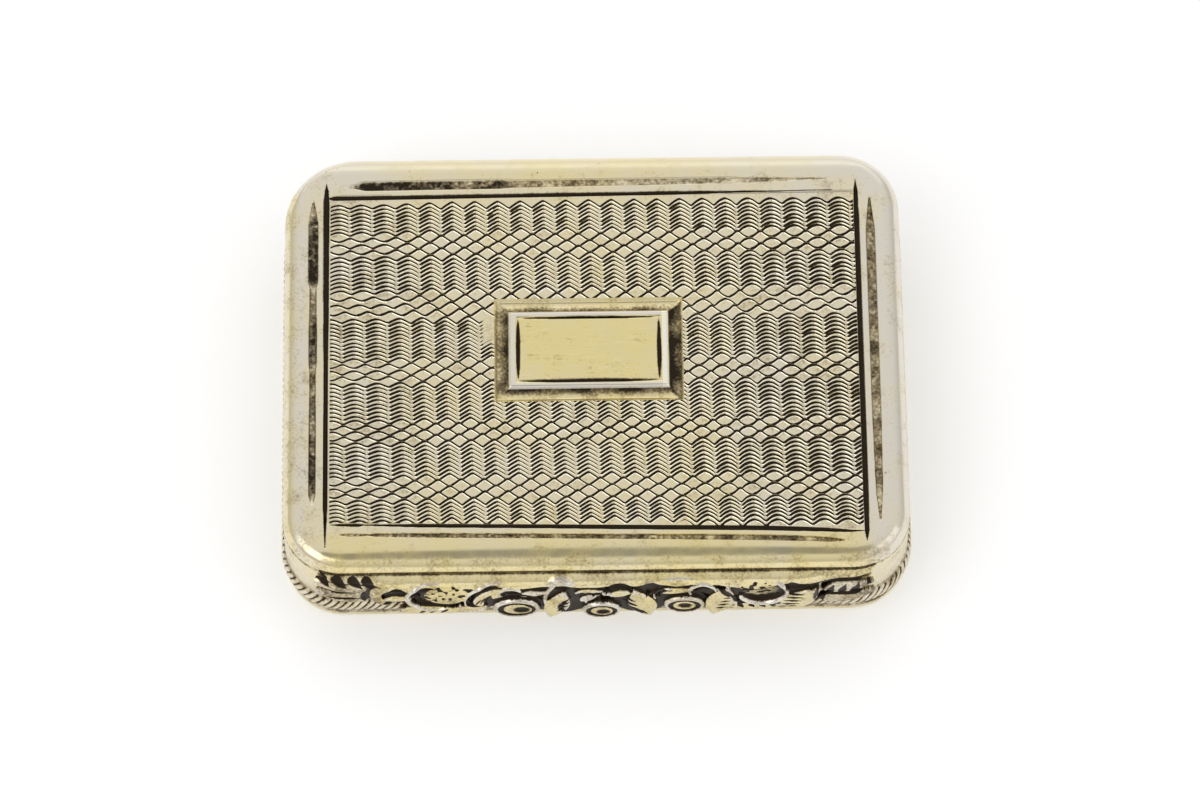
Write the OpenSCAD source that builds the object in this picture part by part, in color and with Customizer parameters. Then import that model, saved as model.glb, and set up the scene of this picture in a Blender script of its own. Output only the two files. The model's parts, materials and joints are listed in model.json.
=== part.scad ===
// Silver-gilt vinaigrette: a small hinged box whose inner pierced grille holds down a scented sponge.
// Millimetres. The origin is the centre of the base's flat underside, +Z is up, and the front is at -Y.

/* [Box] */
// Width over the side walls
box_w = 35.8; // [30:0.1:44]
// Depth over the front and back walls
box_d = 26.5; // [23:0.1:34]
// Height from the base's underside to the lid seam
body_h = 6.1; // [5.4:0.1:8]
// Plan radius of the outer corners
corner_r = 3.4; // [3.2:0.1:4.5]
// Thickness of the side wall
wall_t = 0.65; // [0.6:0.05:0.8]

/* [Base] */
// Height of the base tray, up to its joint with the side wall
base_h = 1.1; // [1:0.05:1.3]
// Radius of the base's rounded lower edge
base_edge_r = 0.9; // [0.5:0.05:1]
// Thickness of the base sheet
base_t = 0.5; // [0.4:0.05:0.8]

/* [Roped moulding] */
// Height of the moulding's lower edge above the base tray
rope_lift = 0.35; // [0.05:0.05:0.4]
// Height of the moulding
rope_h = 1.4; // [0.8:0.1:1.6]
// How far the moulding stands out from the wall
rope_out = 0.26; // [0.05:0.01:0.28]

/* [Lid] */
// Height from the lid's closing edge to its top
lid_h = 1.1; // [1.05:0.01:1.6]
// Thickness of the lid sheet
lid_t = 0.5; // [0.4:0.02:0.54]
// Radius of the lid's rounded border
lid_edge_r = 0.95; // [0.85:0.05:0.95]
// Distance from the lid's outline to the middle of the hollow moulding
hollow_inset = 1.85; // [1.7:0.05:2.2]
// Radius of the hollow moulding's section
hollow_r = 0.35; // [0.25:0.05:0.5]
// Depth of the hollow moulding
hollow_depth = 0.12; // [0.06:0.01:0.2]
// Distance from the lid's outline to the engine-turned panel
panel_inset = 2.45; // [2.4:0.05:3.2]
// Depth of the panel below the lid's top
panel_depth = 0.06; // [0.03:0.01:0.12]
// How far the panel and the hollow moulding sit in front of the middle of the lid
panel_forward = 0.15; // [0:0.05:0.2]

/* [Cartouche] */
// Width of the sunk surround
cartouche_w = 10.9; // [10.5:0.1:13]
// Depth of the sunk surround, front to back
cartouche_d = 6.6; // [6.2:0.1:8]
// How far the cartouche sits behind the middle of the lid
cartouche_back = 0.4; // [0:0.05:1]
// How far the cartouche sits to the left of the middle of the lid
cartouche_left = 0.3; // [0:0.05:0.6]
// Depth of the surround below the lid's top
cartouche_sink = 0.2; // [0.1:0.02:0.26]
// Width of the raised plaque
plaque_w = 9.3; // [8:0.1:10]
// Depth of the raised plaque, front to back
plaque_d = 5; // [4:0.1:5.6]
// Thickness of the plaque
plaque_t = 0.26; // [0.2:0.02:0.4]
// Width of the plaque's sloping edge
plaque_bevel = 0.16; // [0.08:0.02:0.2]

/* [Thumbpiece] */
// Distance of each end of the thumbpiece from the side of the box
thumb_inset = 2.4; // [1.8:0.1:5]
// How far the thumbpiece hangs below the lid's closing edge at its middle
thumb_drop = 4.5; // [3.8:0.1:4.7]
// How far the thumbpiece laps up over the lid's border
thumb_lap = 0.35; // [0.3:0.05:0.6]
// How far the plain back plate stands out from the box's front
thumb_plate_out = 0.58; // [0.54:0.02:0.76]
// How far the foliage stands out from the back plate
leaf_out = 0.38; // [0.2:0.02:0.5]
// Radius of the flower heads
flower_r = 1.25; // [0.8:0.05:1.3]
// Radius of the scroll stems' section
scroll_r = 0.24; // [0.15:0.01:0.3]

/* [Lid hinge] */
// Distance between each end of the hinge and the start of the corner
hinge_margin = 0.8; // [0.4:0.1:3]
// Outer radius of the knuckles
knuckle_r = 0.48; // [0.42:0.02:0.56]
// Radius of the hinge pin
pin_r = 0.24; // [0.18:0.02:0.28]
// Distance of the hinge axis inside the back of the box
hinge_inset = 0.28; // [0.2:0.02:0.34]
// Distance of the hinge axis below the lid seam
hinge_drop = 0.35; // [0.3:0.05:0.45]

/* [Bezel] */
// Thickness of the bezel strip inside the wall
bezel_t = 0.4; // [0.35:0.05:0.6]
// How far the bezel stands above the wall, inside the lid
bezel_rise = 0.4; // [0.2:0.05:0.45]
// How far the bezel reaches down inside the wall
bezel_drop = 1.7; // [1.3:0.1:2.2]

/* [Grille] */
// Thickness of the pierced grille
grille_t = 0.35; // [0.25:0.05:0.5]
// Distance of the grille's top below the lid seam
grille_drop = 0.35; // [0.2:0.05:0.6]
// Width of the plain border round the piercing
grille_margin = 1.5; // [1.2:0.1:2.5]
// Width of the scroll stems left between the piercings
stem_w = 0.52; // [0.4:0.02:0.7]
// Scrolls across the grille
scroll_columns = 3; // [2:1:4]
// Scrolls from front to back
scroll_rows = 2; // [1:1:3]
// Width of the ledge under the grille
ledge_w = 0.8; // [0.5:0.1:1.2]
// Thickness of the ledge
ledge_t = 0.4; // [0.3:0.05:0.6]
// Length of the grille's own knuckle
grille_knuckle_len = 6; // [4:0.5:9]
// Length of each lug that carries the grille's pin
lug_len = 2.4; // [1.5:0.1:4]
// Outer radius of the grille's knuckle and lugs
grille_knuckle_r = 0.36; // [0.3:0.02:0.42]
// Radius of the grille's pin
grille_pin_r = 0.17; // [0.12:0.01:0.2]
// Radius of the lifting tab
tab_r = 0.7; // [0.5:0.05:0.75]
// Thickness of the lifting tab
tab_t = 0.3; // [0.2:0.05:0.5]

/* [Sponge] */
// Space between the sponge and the side wall
sponge_side_gap = 0.6; // [0.5:0.1:1.2]
// Least space between the sponge and the ledge above it
sponge_top_gap = 0.25; // [0.15:0.05:0.6]

/* [Fits] */
// Film of solder between pieces that are soldered together
solder_gap = 0.02; // [0.01:0.01:0.03]
// Gap at the lid seam
seam_gap = 0.06; // [0.04:0.01:0.1]
// Running clearance round and between hinge knuckles
hinge_gap = 0.1; // [0.08:0.01:0.14]
// Radial clearance of a hinge pin in its knuckles
pin_gap = 0.03; // [0.02:0.01:0.05]
// Clearance between the grille and the bezel round it
grille_gap = 0.12; // [0.1:0.02:0.2]
// Clearance between the thumbpiece and the roped moulding behind it
thumb_gap = 0.12; // [0.1:0.02:0.2]

/* [Hidden] */
$fn = 64;

GILT = [0.84, 0.77, 0.56];
WORN = [0.79, 0.75, 0.67];
WARM = [0.86, 0.74, 0.45];
SPONGE = [0.78, 0.64, 0.40];

// Lid and hinge levels
lid_z = body_h + seam_gap;
lid_top = lid_z + lid_h;
hinge_y = box_d / 2 - hinge_inset;
hinge_z = body_h - hinge_drop;
// Half the straight run of the front and side walls, between the corner arcs
front_half = box_w / 2 - corner_r;
side_half = box_d / 2 - corner_r;

// Lid hinge: five knuckles in a row, taken in turn by the body and the lid
knuckle_count = 5;
hinge_len = 2 * (front_half - hinge_margin);
knuckle_pitch = hinge_len / knuckle_count;
// Radius cleared from the lid's back edge so that it passes over the wall as it opens
lid_relief_r = norm([hinge_inset, hinge_drop]) + seam_gap / 2;

// Insets from the plan outline, working inwards
bezel_out_inset = wall_t + solder_gap;
bezel_in_inset = bezel_out_inset + bezel_t;
grille_inset = bezel_in_inset + grille_gap;
ledge_out_inset = bezel_in_inset + solder_gap;
sponge_inset = wall_t + sponge_side_gap;

// Grille levels and hinge axis
grille_top = body_h - grille_drop;
grille_z = grille_top - grille_t;
grille_axis_y = box_d / 2 - bezel_in_inset - hinge_gap - grille_knuckle_r;
grille_axis_z = grille_z + grille_t / 2;
lug_x = grille_knuckle_len / 2 + hinge_gap + lug_len / 2;
grille_pin_len = 2 * lug_x + lug_len;

// Pierced field of the grille
field_x = box_w / 2 - grille_inset - grille_margin;
field_front = -(box_d / 2 - grille_inset - grille_margin);
field_back = grille_axis_y - grille_knuckle_r - grille_margin;
cell_w = 2 * field_x / scroll_columns;
cell_d = (field_back - field_front) / scroll_rows;
ring_r = min(cell_w, cell_d) / 2;

// Sponge levels: its rounded edge leaves a little plan radius at the corners of its flat top
sponge_corner_r = 0.3;
sponge_most = 2 * (corner_r - sponge_inset - sponge_corner_r);
sponge_top = min(grille_z - ledge_t - sponge_top_gap, base_t + sponge_most);
sponge_r = (sponge_top - base_t) / 2;

// Thumbpiece: its back plate, and the reach of its foliage
thumb_half = box_w / 2 - thumb_inset;
thumb_in = rope_out + thumb_gap;
thumb_out = thumb_plate_out + leaf_out;
thumb_bottom = lid_z - thumb_drop;
thumb_top = lid_z + thumb_lap;
thumb_low = thumb_bottom + flower_r + 0.1 * flower_r;
thumb_mid = thumb_bottom + 0.5 * (thumb_top - thumb_bottom);
thumb_high = thumb_bottom + 0.8 * (thumb_top - thumb_bottom);
scroll_bend = 1.1 * flower_r;
// Places of the flowers, C-scrolls and end leaves, as shares of the half length
flower_u = 0.29;
scroll_u = 0.58;
leaf_u = 0.84;
// Share of the half length where the plain band begins to taper to its ends
band_u = 0.71;

// How far the front of the box falls back at x, where the corner has begun
function front_fall(x) =
    let (past = max(0, abs(x) - front_half))
    corner_r - sqrt(max(0, corner_r * corner_r - past * past));

// Plan outline of the box, drawn in by inset
module plan(inset = 0) {
    r = corner_r - inset;
    square([2 * front_half, 2 * (side_half + r)], center = true);
    square([2 * (front_half + r), 2 * side_half], center = true);
    for (x = [-1, 1], y = [-1, 1])
        translate([x * front_half, y * side_half]) circle(r);
}

// Sweeps a section round the plan outline: its x is measured out from the outline, its y is height
module around_plan() {
    for (q = [0:3]) {
        across = q % 2 == 0 ? box_w / 2 : box_d / 2;
        along = q % 2 == 0 ? side_half : front_half;
        rotate(90 * q) {
            translate([across, along, 0]) rotate([90, 0, 0]) linear_extrude(2 * along) children();
            translate([across - corner_r, along, 0])
                rotate_extrude(angle = 90) translate([corner_r, 0]) children();
        }
    }
}

// Block on the plan outline, with its upper edge rounded
module domed_block(inset, h, edge_r) {
    lap = edge_r / 4;
    around_plan() translate([-inset - edge_r, 0]) {
        translate([-lap, 0]) square([lap, h]);
        square([edge_r, h - edge_r]);
        intersection() {
            translate([0, h - edge_r]) circle(edge_r);
            translate([0, h - edge_r]) square(edge_r);
        }
    }
    linear_extrude(h) plan(inset + edge_r);
}

// Cylinder along X, centred at x on the axis through y and z
module x_cylinder(x, y, z, r, len) {
    translate([x, y, z]) rotate([0, 90, 0]) cylinder(r = r, h = len, center = true);
}

// Tube along X with a bore for its pin
module knuckle(x, y, z, r, bore_r, len) {
    difference() {
        x_cylinder(x, y, z, r, len);
        x_cylinder(x, y, z, bore_r, 2 * len);
    }
}

// Middle of knuckle i of the lid hinge, counted from the left
function knuckle_x(i) = (i - (knuckle_count - 1) / 2) * knuckle_pitch;

module lid_hinge_knuckle(i) {
    knuckle(knuckle_x(i), hinge_y, hinge_z, knuckle_r, pin_r + pin_gap, knuckle_pitch - hinge_gap);
}

// Channel along the back for the knuckles: own ones are soldered in it and the others turn in it
module hinge_channel(first_own) {
    for (i = [0:knuckle_count - 1]) {
        clearance = i % 2 == first_own ? solder_gap : hinge_gap;
        x_cylinder(knuckle_x(i), hinge_y, hinge_z, knuckle_r + clearance, knuckle_pitch);
    }
}

// Base tray: a flat sheet with a rounded border
module base_plate() {
    color(GILT) difference() {
        translate([0, 0, base_h]) mirror([0, 0, 1]) domed_block(0, base_h, base_edge_r);
        translate([0, 0, base_t]) linear_extrude(base_h) plan(wall_t);
    }
}

// Section of the side wall, with the roped moulding standing out near its foot
module wall_section() {
    half = rope_h / 2;
    lap = rope_lift / 2;
    bulge_r = (half * half + rope_out * rope_out) / (2 * rope_out);
    translate([-wall_t, base_h]) square([wall_t, body_h - base_h]);
    intersection() {
        translate([rope_out - bulge_r, base_h + rope_lift + half]) circle(bulge_r);
        translate([-wall_t / 2, base_h + rope_lift - lap]) square([wall_t, rope_h + 2 * lap]);
    }
}

module side_wall() {
    reach = knuckle_r + solder_gap;
    color(WORN) difference() {
        around_plan() wall_section();
        hinge_channel(0);
        translate([-hinge_len / 2, hinge_y - reach, hinge_z]) cube([hinge_len, 2 * reach, body_h]);
    }
}

// Inner strip that the lid closes over, with its outer edge bevelled to lead the lid on
module bezel() {
    top = body_h + bezel_rise;
    bevel = bezel_t / 3;
    color(WARM) difference() {
        around_plan() polygon([
            [-bezel_in_inset, body_h - bezel_drop],
            [-bezel_out_inset, body_h - bezel_drop],
            [-bezel_out_inset, top - bevel],
            [-bezel_out_inset - bevel, top],
            [-bezel_in_inset, top]
        ]);
        x_cylinder(0, hinge_y, hinge_z, knuckle_r + hinge_gap, hinge_len);
    }
}

// Ledge on the front and sides of the bezel, for the closed grille to rest on
module grille_ledge() {
    back = grille_axis_y - grille_knuckle_r - hinge_gap;
    color(WARM) intersection() {
        around_plan() translate([-ledge_out_inset - ledge_w, grille_z - ledge_t]) square([ledge_w, ledge_t]);
        translate([-box_w, back - box_d, 0]) cube([2 * box_w, box_d, body_h]);
    }
}

module lid_hinge_pin() {
    color(WORN) x_cylinder(0, hinge_y, hinge_z, pin_r, hinge_len - hinge_gap);
}

// Lug on the back of the bezel: a tube on a flat foot
module grille_lug(side) {
    foot_top = grille_axis_z + grille_knuckle_r / 2;
    foot_bottom = grille_axis_z - grille_knuckle_r;
    foot_d = grille_knuckle_r + hinge_gap - solder_gap;
    color(WARM) difference() {
        union() {
            x_cylinder(side * lug_x, grille_axis_y, grille_axis_z, grille_knuckle_r, lug_len);
            translate([side * lug_x - lug_len / 2, grille_axis_y, foot_bottom])
                cube([lug_len, foot_d, foot_top - foot_bottom]);
        }
        x_cylinder(side * lug_x, grille_axis_y, grille_axis_z, grille_pin_r + pin_gap, 2 * lug_len);
    }
}

module grille_hinge_pin() {
    color(WARM) x_cylinder(0, grille_axis_y, grille_axis_z, grille_pin_r, grille_pin_len);
}

// Pad with fully rounded edges that fills the well under the grille
module sponge() {
    color(SPONGE) translate([0, 0, base_t]) {
        around_plan() intersection() {
            translate([-sponge_inset - sponge_r, sponge_r]) circle(sponge_r);
            translate([-sponge_inset - sponge_r, 0]) square([sponge_r, 2 * sponge_r]);
        }
        linear_extrude(2 * sponge_r) plan(sponge_inset + sponge_r);
    }
}

// Straight hollow with round ends, cut along one side of the lid's top
module hollow(len) {
    translate([0, 0, lid_top + hollow_r - hollow_depth]) {
        rotate([0, 90, 0]) cylinder(r = hollow_r, h = len, center = true);
        for (end = [-1, 1]) translate([end * len / 2, 0, 0]) sphere(hollow_r);
    }
}

// Lid: one sheet with a rounded border, hollow moulding, sunk panel and sunk cartouche surround
module lid_cover() {
    over = lid_h;
    color(GILT) difference() {
        translate([0, 0, lid_z]) domed_block(0, lid_h, lid_edge_r);
        translate([0, 0, lid_z]) domed_block(lid_t, lid_h - lid_t, lid_edge_r - lid_t);
        translate([0, -panel_forward, 0]) for (side = [-1, 1]) {
            translate([0, side * (box_d / 2 - hollow_inset), 0]) hollow(2 * front_half);
            translate([side * (box_w / 2 - hollow_inset), 0, 0]) rotate(90) hollow(2 * side_half);
        }
        translate([0, -panel_forward, lid_top - panel_depth + over / 2])
            cube([box_w - 2 * panel_inset, box_d - 2 * panel_inset, over], center = true);
        translate([-cartouche_left, cartouche_back, lid_top - cartouche_sink + over / 2])
            cube([cartouche_w, cartouche_d, over], center = true);
        hinge_channel(1);
        x_cylinder(0, hinge_y, hinge_z, lid_relief_r, box_w);
    }
}

// Vacant plaque that stands in the sunk surround
module cartouche_plaque() {
    floor_z = lid_top - cartouche_sink;
    slope = [[0, 0], [plaque_bevel, 0], [0, plaque_bevel]];
    color(GILT) translate([-cartouche_left, cartouche_back, floor_z]) difference() {
        translate([0, 0, plaque_t / 2]) cube([plaque_w, plaque_d, plaque_t], center = true);
        for (q = [0:3]) {
            across = q % 2 == 0 ? plaque_w / 2 : plaque_d / 2;
            rotate(90 * q) translate([across, 0, plaque_t]) rotate([90, 0, 0])
                linear_extrude(2 * plaque_w, center = true) mirror([1, 0]) mirror([0, 1]) polygon(slope);
        }
    }
}

// Places a relief element on the front of the thumbpiece, at share u of its half length and height z
module on_front(u, z, out = thumb_plate_out) {
    x = u * thumb_half;
    translate([x, front_fall(x) - box_d / 2 - out, z]) rotate([90, 0, 0]) children();
}

// Flower head: a dished ring of petals round a raised eye
module flower() {
    eye_r = 0.52 * flower_r;
    hole_r = 0.24 * flower_r;
    sunk = -leaf_out / 2;
    rotate_extrude() polygon([
        [hole_r, sunk], [flower_r, sunk], [flower_r, 0.6 * leaf_out], [0.86 * flower_r, leaf_out],
        [0.68 * flower_r, 0.8 * leaf_out], [eye_r + hole_r / 2, 0.35 * leaf_out], [eye_r, 0.8 * leaf_out],
        [hole_r * 1.5, 0.9 * leaf_out], [hole_r, 0.5 * leaf_out]
    ]);
}

// Pointed leaf with a crowned face, lying along its own X
module leaf(len, width) {
    half = width / 2;
    side_r = (len * len / 4 + half * half) / width;
    crown_r = (half * half + leaf_out * leaf_out) / (2 * leaf_out);
    sunk = leaf_out / 2;
    intersection() {
        translate([0, 0, -sunk]) linear_extrude(2 * leaf_out) intersection() {
            translate([0, side_r - half]) circle(side_r);
            translate([0, half - side_r]) circle(side_r);
        }
        translate([0, 0, leaf_out - crown_r]) rotate([0, 90, 0]) cylinder(r = crown_r, h = len, center = true);
    }
}

// C-scroll stem: part of a ring of round section
module c_scroll(bend_r, from, sweep) {
    rotate(from) rotate_extrude(angle = sweep) translate([bend_r, 0]) circle(scroll_r);
}

// C-scroll curled round a domed cushion
module cushion_scroll(bend_r, from) {
    dome_r = (bend_r * bend_r + leaf_out * leaf_out) / (2 * leaf_out);
    c_scroll(bend_r, from, 230);
    intersection() {
        translate([0, 0, 0.8 * leaf_out - dome_r]) sphere(dome_r);
        translate([0, 0, -leaf_out / 2]) cylinder(r = bend_r, h = 2 * leaf_out);
    }
}

// Foliage of the thumbpiece: three flowers between C-scrolls, with leaves that spread to the ends
module foliage() {
    for (u = [-flower_u, 0, flower_u]) on_front(u, thumb_low) flower();
    for (side = [-1, 1]) {
        on_front(side * 0.5 * flower_u, thumb_mid) rotate(90 - side * 30) leaf(2.7 * flower_r, flower_r);
        on_front(side * 0.36 * flower_u, thumb_high) rotate(90 + side * 40) leaf(1.6 * flower_r, 0.8 * flower_r);
        on_front(side * flower_u, thumb_mid) c_scroll(scroll_bend, 20, 140);
        on_front(side * 0.43, thumb_mid) rotate(90 - side * 25) leaf(2.6 * flower_r, flower_r);
        on_front(side * scroll_u, thumb_mid) cushion_scroll(scroll_bend, side > 0 ? 140 : 170);
        on_front(side * band_u, thumb_mid) rotate(90 - side * 40) leaf(2.2 * flower_r, 0.9 * flower_r);
        on_front(side * leaf_u, thumb_high) leaf(2 * (1 - leaf_u) * thumb_half, 1.5 * flower_r);
    }
}

// Outline of the thumbpiece: a plain band under the lid's edge, lobed below and pointed at the ends
module thumb_outline() {
    tip = (1 - band_u) * thumb_half;
    tip_w = 2 * (thumb_top - thumb_high);
    tip_r = (tip * tip + tip_w * tip_w / 4) / tip_w;
    lobe_r = scroll_bend + 1.5 * scroll_r;
    translate([-band_u * thumb_half, thumb_mid]) square([2 * band_u * thumb_half, thumb_top - thumb_mid]);
    for (side = [-1, 1]) translate([side * band_u * thumb_half, thumb_high]) intersection() {
        translate([0, tip_r - tip_w / 2]) circle(tip_r);
        translate([0, tip_w / 2 - tip_r]) circle(tip_r);
    }
    for (u = [-flower_u, 0, flower_u]) translate([u * thumb_half, thumb_low]) circle(thumb_low - thumb_bottom);
    for (u = [-scroll_u, scroll_u]) translate([u * thumb_half, thumb_mid]) circle(lobe_r);
    for (u = [-0.5 * flower_u, 0.5 * flower_u, -0.44, 0.44])
        translate([u * thumb_half, thumb_mid]) circle(1.25 * flower_r);
}

// Section of the thumbpiece's back plate: a lap soldered over the lid's border and an apron clear of the wall
module thumb_section() {
    round_r = (thumb_plate_out - thumb_in) / 2;
    polygon([
        [thumb_in, thumb_bottom + round_r], [thumb_plate_out, thumb_bottom + round_r],
        [thumb_plate_out, lid_z], [thumb_plate_out - round_r, thumb_top],
        [solder_gap, thumb_top], [solder_gap, lid_z], [thumb_in, lid_z]
    ]);
    translate([thumb_in + round_r, thumb_bottom + round_r]) circle(round_r);
}

// Cast thumbpiece on the front of the lid
module thumbpiece() {
    color(GILT) {
        intersection() {
            around_plan() thumb_section();
            translate([0, corner_r - box_d / 2, 0]) rotate([90, 0, 0])
                linear_extrude(corner_r + thumb_out) thumb_outline();
        }
        foliage();
    }
}

// Ring of the pierced scrollwork, between two angles
module stem_arc(r, from, sweep) {
    reach = 2 * r;
    intersection() {
        difference() {
            circle(r + stem_w / 2);
            circle(r - stem_w / 2);
        }
        rotate(from) polygon([
            [0, 0],
            for (t = [0:30:sweep]) reach * [cos(t), sin(t)]
        ]);
    }
}

// Small flower of round petals
module pierced_flower(r) {
    petal_r = r * 0.42;
    petals = 6;
    circle(r - petal_r);
    for (i = [0:petals - 1]) rotate(360 * i / petals) translate([r - petal_r, 0]) circle(petal_r);
}

// Lens-shaped leaf from the origin along X
module pierced_leaf(len, width) {
    side_r = (len * len + width * width) / (4 * width);
    translate([len / 2, 0]) intersection() {
        translate([0, side_r - width / 2]) circle(side_r);
        translate([0, width / 2 - side_r]) circle(side_r);
    }
}

// Leaves that run out from a scroll's flower, at the listed angles
module leaf_spray(angles, len) {
    for (t = angles) rotate(t) translate([0.28 * ring_r, 0]) pierced_leaf(len, 0.25 * ring_r);
}

// Half turns of a spiral scroll, as shares of its outer radius: each one's radius, end and centre
function turn_share(k) = 1 - 0.17 * k;
function turn_end(k) = k < 0 ? 1 : turn_end(k - 1) + (k % 2 == 0 ? -2 : 2) * turn_share(k);
function turn_mid(k) = (turn_end(k - 1) + turn_end(k)) / 2;

// One scroll of the piercing: a stem that curls in to a flower and throws off leaves as it goes
module pierced_scroll() {
    turns = 4;
    for (k = [0:turns - 1]) translate([turn_mid(k) * ring_r, 0]) rotate(180 * (k % 2)) {
        turn_r = turn_share(k) * ring_r;
        stem_arc(turn_r, 0, 180);
        if (k < turns - 1) for (t = [20, 65, 110]) rotate(t) translate([turn_r, 0]) rotate(125)
            pierced_leaf(0.4 * ring_r, 0.17 * ring_r);
    }
    // Bud at each joint of the stem
    for (k = [0:turns - 2]) translate([turn_end(k) * ring_r, 0]) circle(0.75 * stem_w);
    translate([0.08, 0.05] * ring_r) pierced_flower(0.29 * ring_r);
    // Leaf that turns out into the corner, and one that ties the tightened half of the scroll to the border
    translate([turn_mid(1) * ring_r, 0]) rotate(-45) translate([turn_share(1) * ring_r, 0])
        pierced_leaf(0.5 * ring_r, 0.22 * ring_r);
    translate([turn_mid(1) * ring_r, -turn_share(1) * ring_r]) rotate(-90)
        pierced_leaf(cell_d / 2 - turn_share(1) * ring_r + stem_w, 0.5 * ring_r);
}

// Rosette of the piercing, for a middle column: a ring round a flower with a full spray of leaves
module pierced_rosette() {
    stem_arc(ring_r, 0, 360);
    pierced_flower(0.4 * ring_r);
    leaf_spray([30:60:330], 0.74 * ring_r);
    leaf_spray([0:60:300], 0.45 * ring_r);
}

// Scrollwork that fills the field, with bars that tie the rings to each other and to the border
module scrollwork() {
    tie = stem_w;
    for (c = [0:scroll_columns - 1], r = [0:scroll_rows - 1]) {
        from_middle = 2 * c + 1 - scroll_columns;
        translate([-field_x + (c + 0.5) * cell_w, field_front + (r + 0.5) * cell_d]) {
            if (from_middle == 0) pierced_rosette();
            else mirror([from_middle < 0 ? 1 : 0, 0]) mirror([0, r % 2]) pierced_scroll();
            // A scroll's tightened half is tied by its own leaf instead
            tight_side = from_middle == 0 ? -1 : r % 2 == 0 ? 3 : 1;
            for (q = [0:3]) if (q != tight_side) {
                half = q % 2 == 0 ? cell_w / 2 : cell_d / 2;
                start = ring_r - stem_w / 2;
                rotate(90 * q) translate([start, -tie / 2]) square([half + tie / 2 - start, tie]);
            }
        }
    }
    // Four-leaved flowers in the spaces between the rings
    spread = atan2(cell_d, cell_w);
    space_r = norm([cell_w, cell_d]) / 2 - ring_r;
    for (c = [0:scroll_columns], r = [0:scroll_rows])
        translate([-field_x + c * cell_w, field_front + r * cell_d]) {
            circle(0.3 * space_r);
            for (t = [spread, 180 - spread, 180 + spread, -spread])
                rotate(t) pierced_leaf(space_r + stem_w / 4, 0.45 * space_r);
        }
}

// Corners cut from the grille's back edge, so that it clears the bezel's corners as it opens
module grille_corner_cuts() {
    bezel_r = corner_r - bezel_in_inset;
    rise = body_h + bezel_rise - grille_axis_z + hinge_gap;
    back = grille_axis_y + grille_t / 2 + grille_gap - side_half;
    x = front_half + sqrt(max(0, bezel_r * bezel_r - back * back)) - grille_gap;
    for (side = [0, 1]) mirror([side, 0]) polygon([
        [x, grille_axis_y + rise], [x, grille_axis_y - rise],
        [box_w / 2, grille_axis_y - rise - (box_w / 2 - x)], [box_w / 2, grille_axis_y + rise]
    ]);
}

// Hinged grille: a plain border round pierced scrollwork, with its back edge cut away for the hinge
module grille() {
    reach = 2 * box_d;
    lap = stem_w / 2;
    field = [2 * field_x, field_back - field_front];
    color(WARM) translate([0, 0, grille_z]) difference() {
        linear_extrude(grille_t) {
            difference() {
                intersection() {
                    plan(grille_inset);
                    translate([-box_w, grille_axis_y - reach]) square([2 * box_w, reach]);
                }
                translate([-field_x, field_front]) square(field);
                grille_corner_cuts();
            }
            intersection() {
                translate([-field_x - lap, field_front - lap]) square(field + 2 * [lap, lap]);
                scrollwork();
            }
        }
        translate([0, 0, -grille_z]) {
            x_cylinder(0, grille_axis_y, grille_axis_z, grille_knuckle_r + solder_gap,
                grille_knuckle_len + 2 * hinge_gap);
            for (side = [-1, 1])
                x_cylinder(side * (lug_x + hinge_gap / 2), grille_axis_y, grille_axis_z,
                    grille_knuckle_r + hinge_gap, lug_len + 2 * hinge_gap);
        }
    }
}

module grille_knuckle() {
    color(WARM) knuckle(0, grille_axis_y, grille_axis_z, grille_knuckle_r, grille_pin_r + pin_gap,
        grille_knuckle_len);
}

// Half-round tab on the grille's front border, for a fingernail
module grille_tab() {
    y = field_front - grille_margin / 2;
    color(WARM) translate([0, y, grille_top]) rotate([90, 0, 0]) linear_extrude(tab_t, center = true)
        intersection() {
            circle(tab_r);
            translate([-tab_r, 0]) square([2 * tab_r, tab_r]);
        }
}

base_plate();
side_wall();
bezel();
grille_ledge();
color(WORN) lid_hinge_knuckle(0);  // body_knuckle_left
color(WORN) lid_hinge_knuckle(2);  // body_knuckle_middle
color(WORN) lid_hinge_knuckle(4);  // body_knuckle_right
lid_hinge_pin();
grille_lug(-1);  // grille_lug_left
grille_lug(1);  // grille_lug_right
grille_hinge_pin();
sponge();
lid_cover();
cartouche_plaque();
thumbpiece();
color(WORN) lid_hinge_knuckle(1);  // lid_knuckle_left
color(WORN) lid_hinge_knuckle(3);  // lid_knuckle_right
grille();
grille_knuckle();
grille_tab();
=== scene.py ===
"""Looks of a small silver-gilt vinaigrette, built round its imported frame.

Shapes are worked out in millimetres in the part's frame (front at -Y, up +Z) and become metres in the meshes.
"""

import json
import math

import bpy
import numpy as np
from mathutils import Matrix, Vector


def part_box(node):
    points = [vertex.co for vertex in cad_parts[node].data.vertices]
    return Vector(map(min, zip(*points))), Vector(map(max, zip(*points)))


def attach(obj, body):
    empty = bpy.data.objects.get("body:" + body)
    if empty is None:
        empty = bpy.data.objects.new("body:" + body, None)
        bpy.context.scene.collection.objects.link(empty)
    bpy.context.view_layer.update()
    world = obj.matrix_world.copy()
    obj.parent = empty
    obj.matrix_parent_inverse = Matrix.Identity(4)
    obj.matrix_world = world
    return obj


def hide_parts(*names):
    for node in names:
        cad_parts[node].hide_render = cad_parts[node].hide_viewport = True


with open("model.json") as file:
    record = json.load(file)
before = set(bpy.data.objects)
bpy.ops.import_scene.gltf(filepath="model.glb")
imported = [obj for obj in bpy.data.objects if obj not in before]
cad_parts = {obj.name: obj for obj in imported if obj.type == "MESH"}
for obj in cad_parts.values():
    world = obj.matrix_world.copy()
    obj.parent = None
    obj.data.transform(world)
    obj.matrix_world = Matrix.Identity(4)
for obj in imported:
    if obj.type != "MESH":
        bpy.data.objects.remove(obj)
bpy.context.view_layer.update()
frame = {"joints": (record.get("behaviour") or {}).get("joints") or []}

MM = 0.001
RANDOM = np.random.default_rng(1837)


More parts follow.
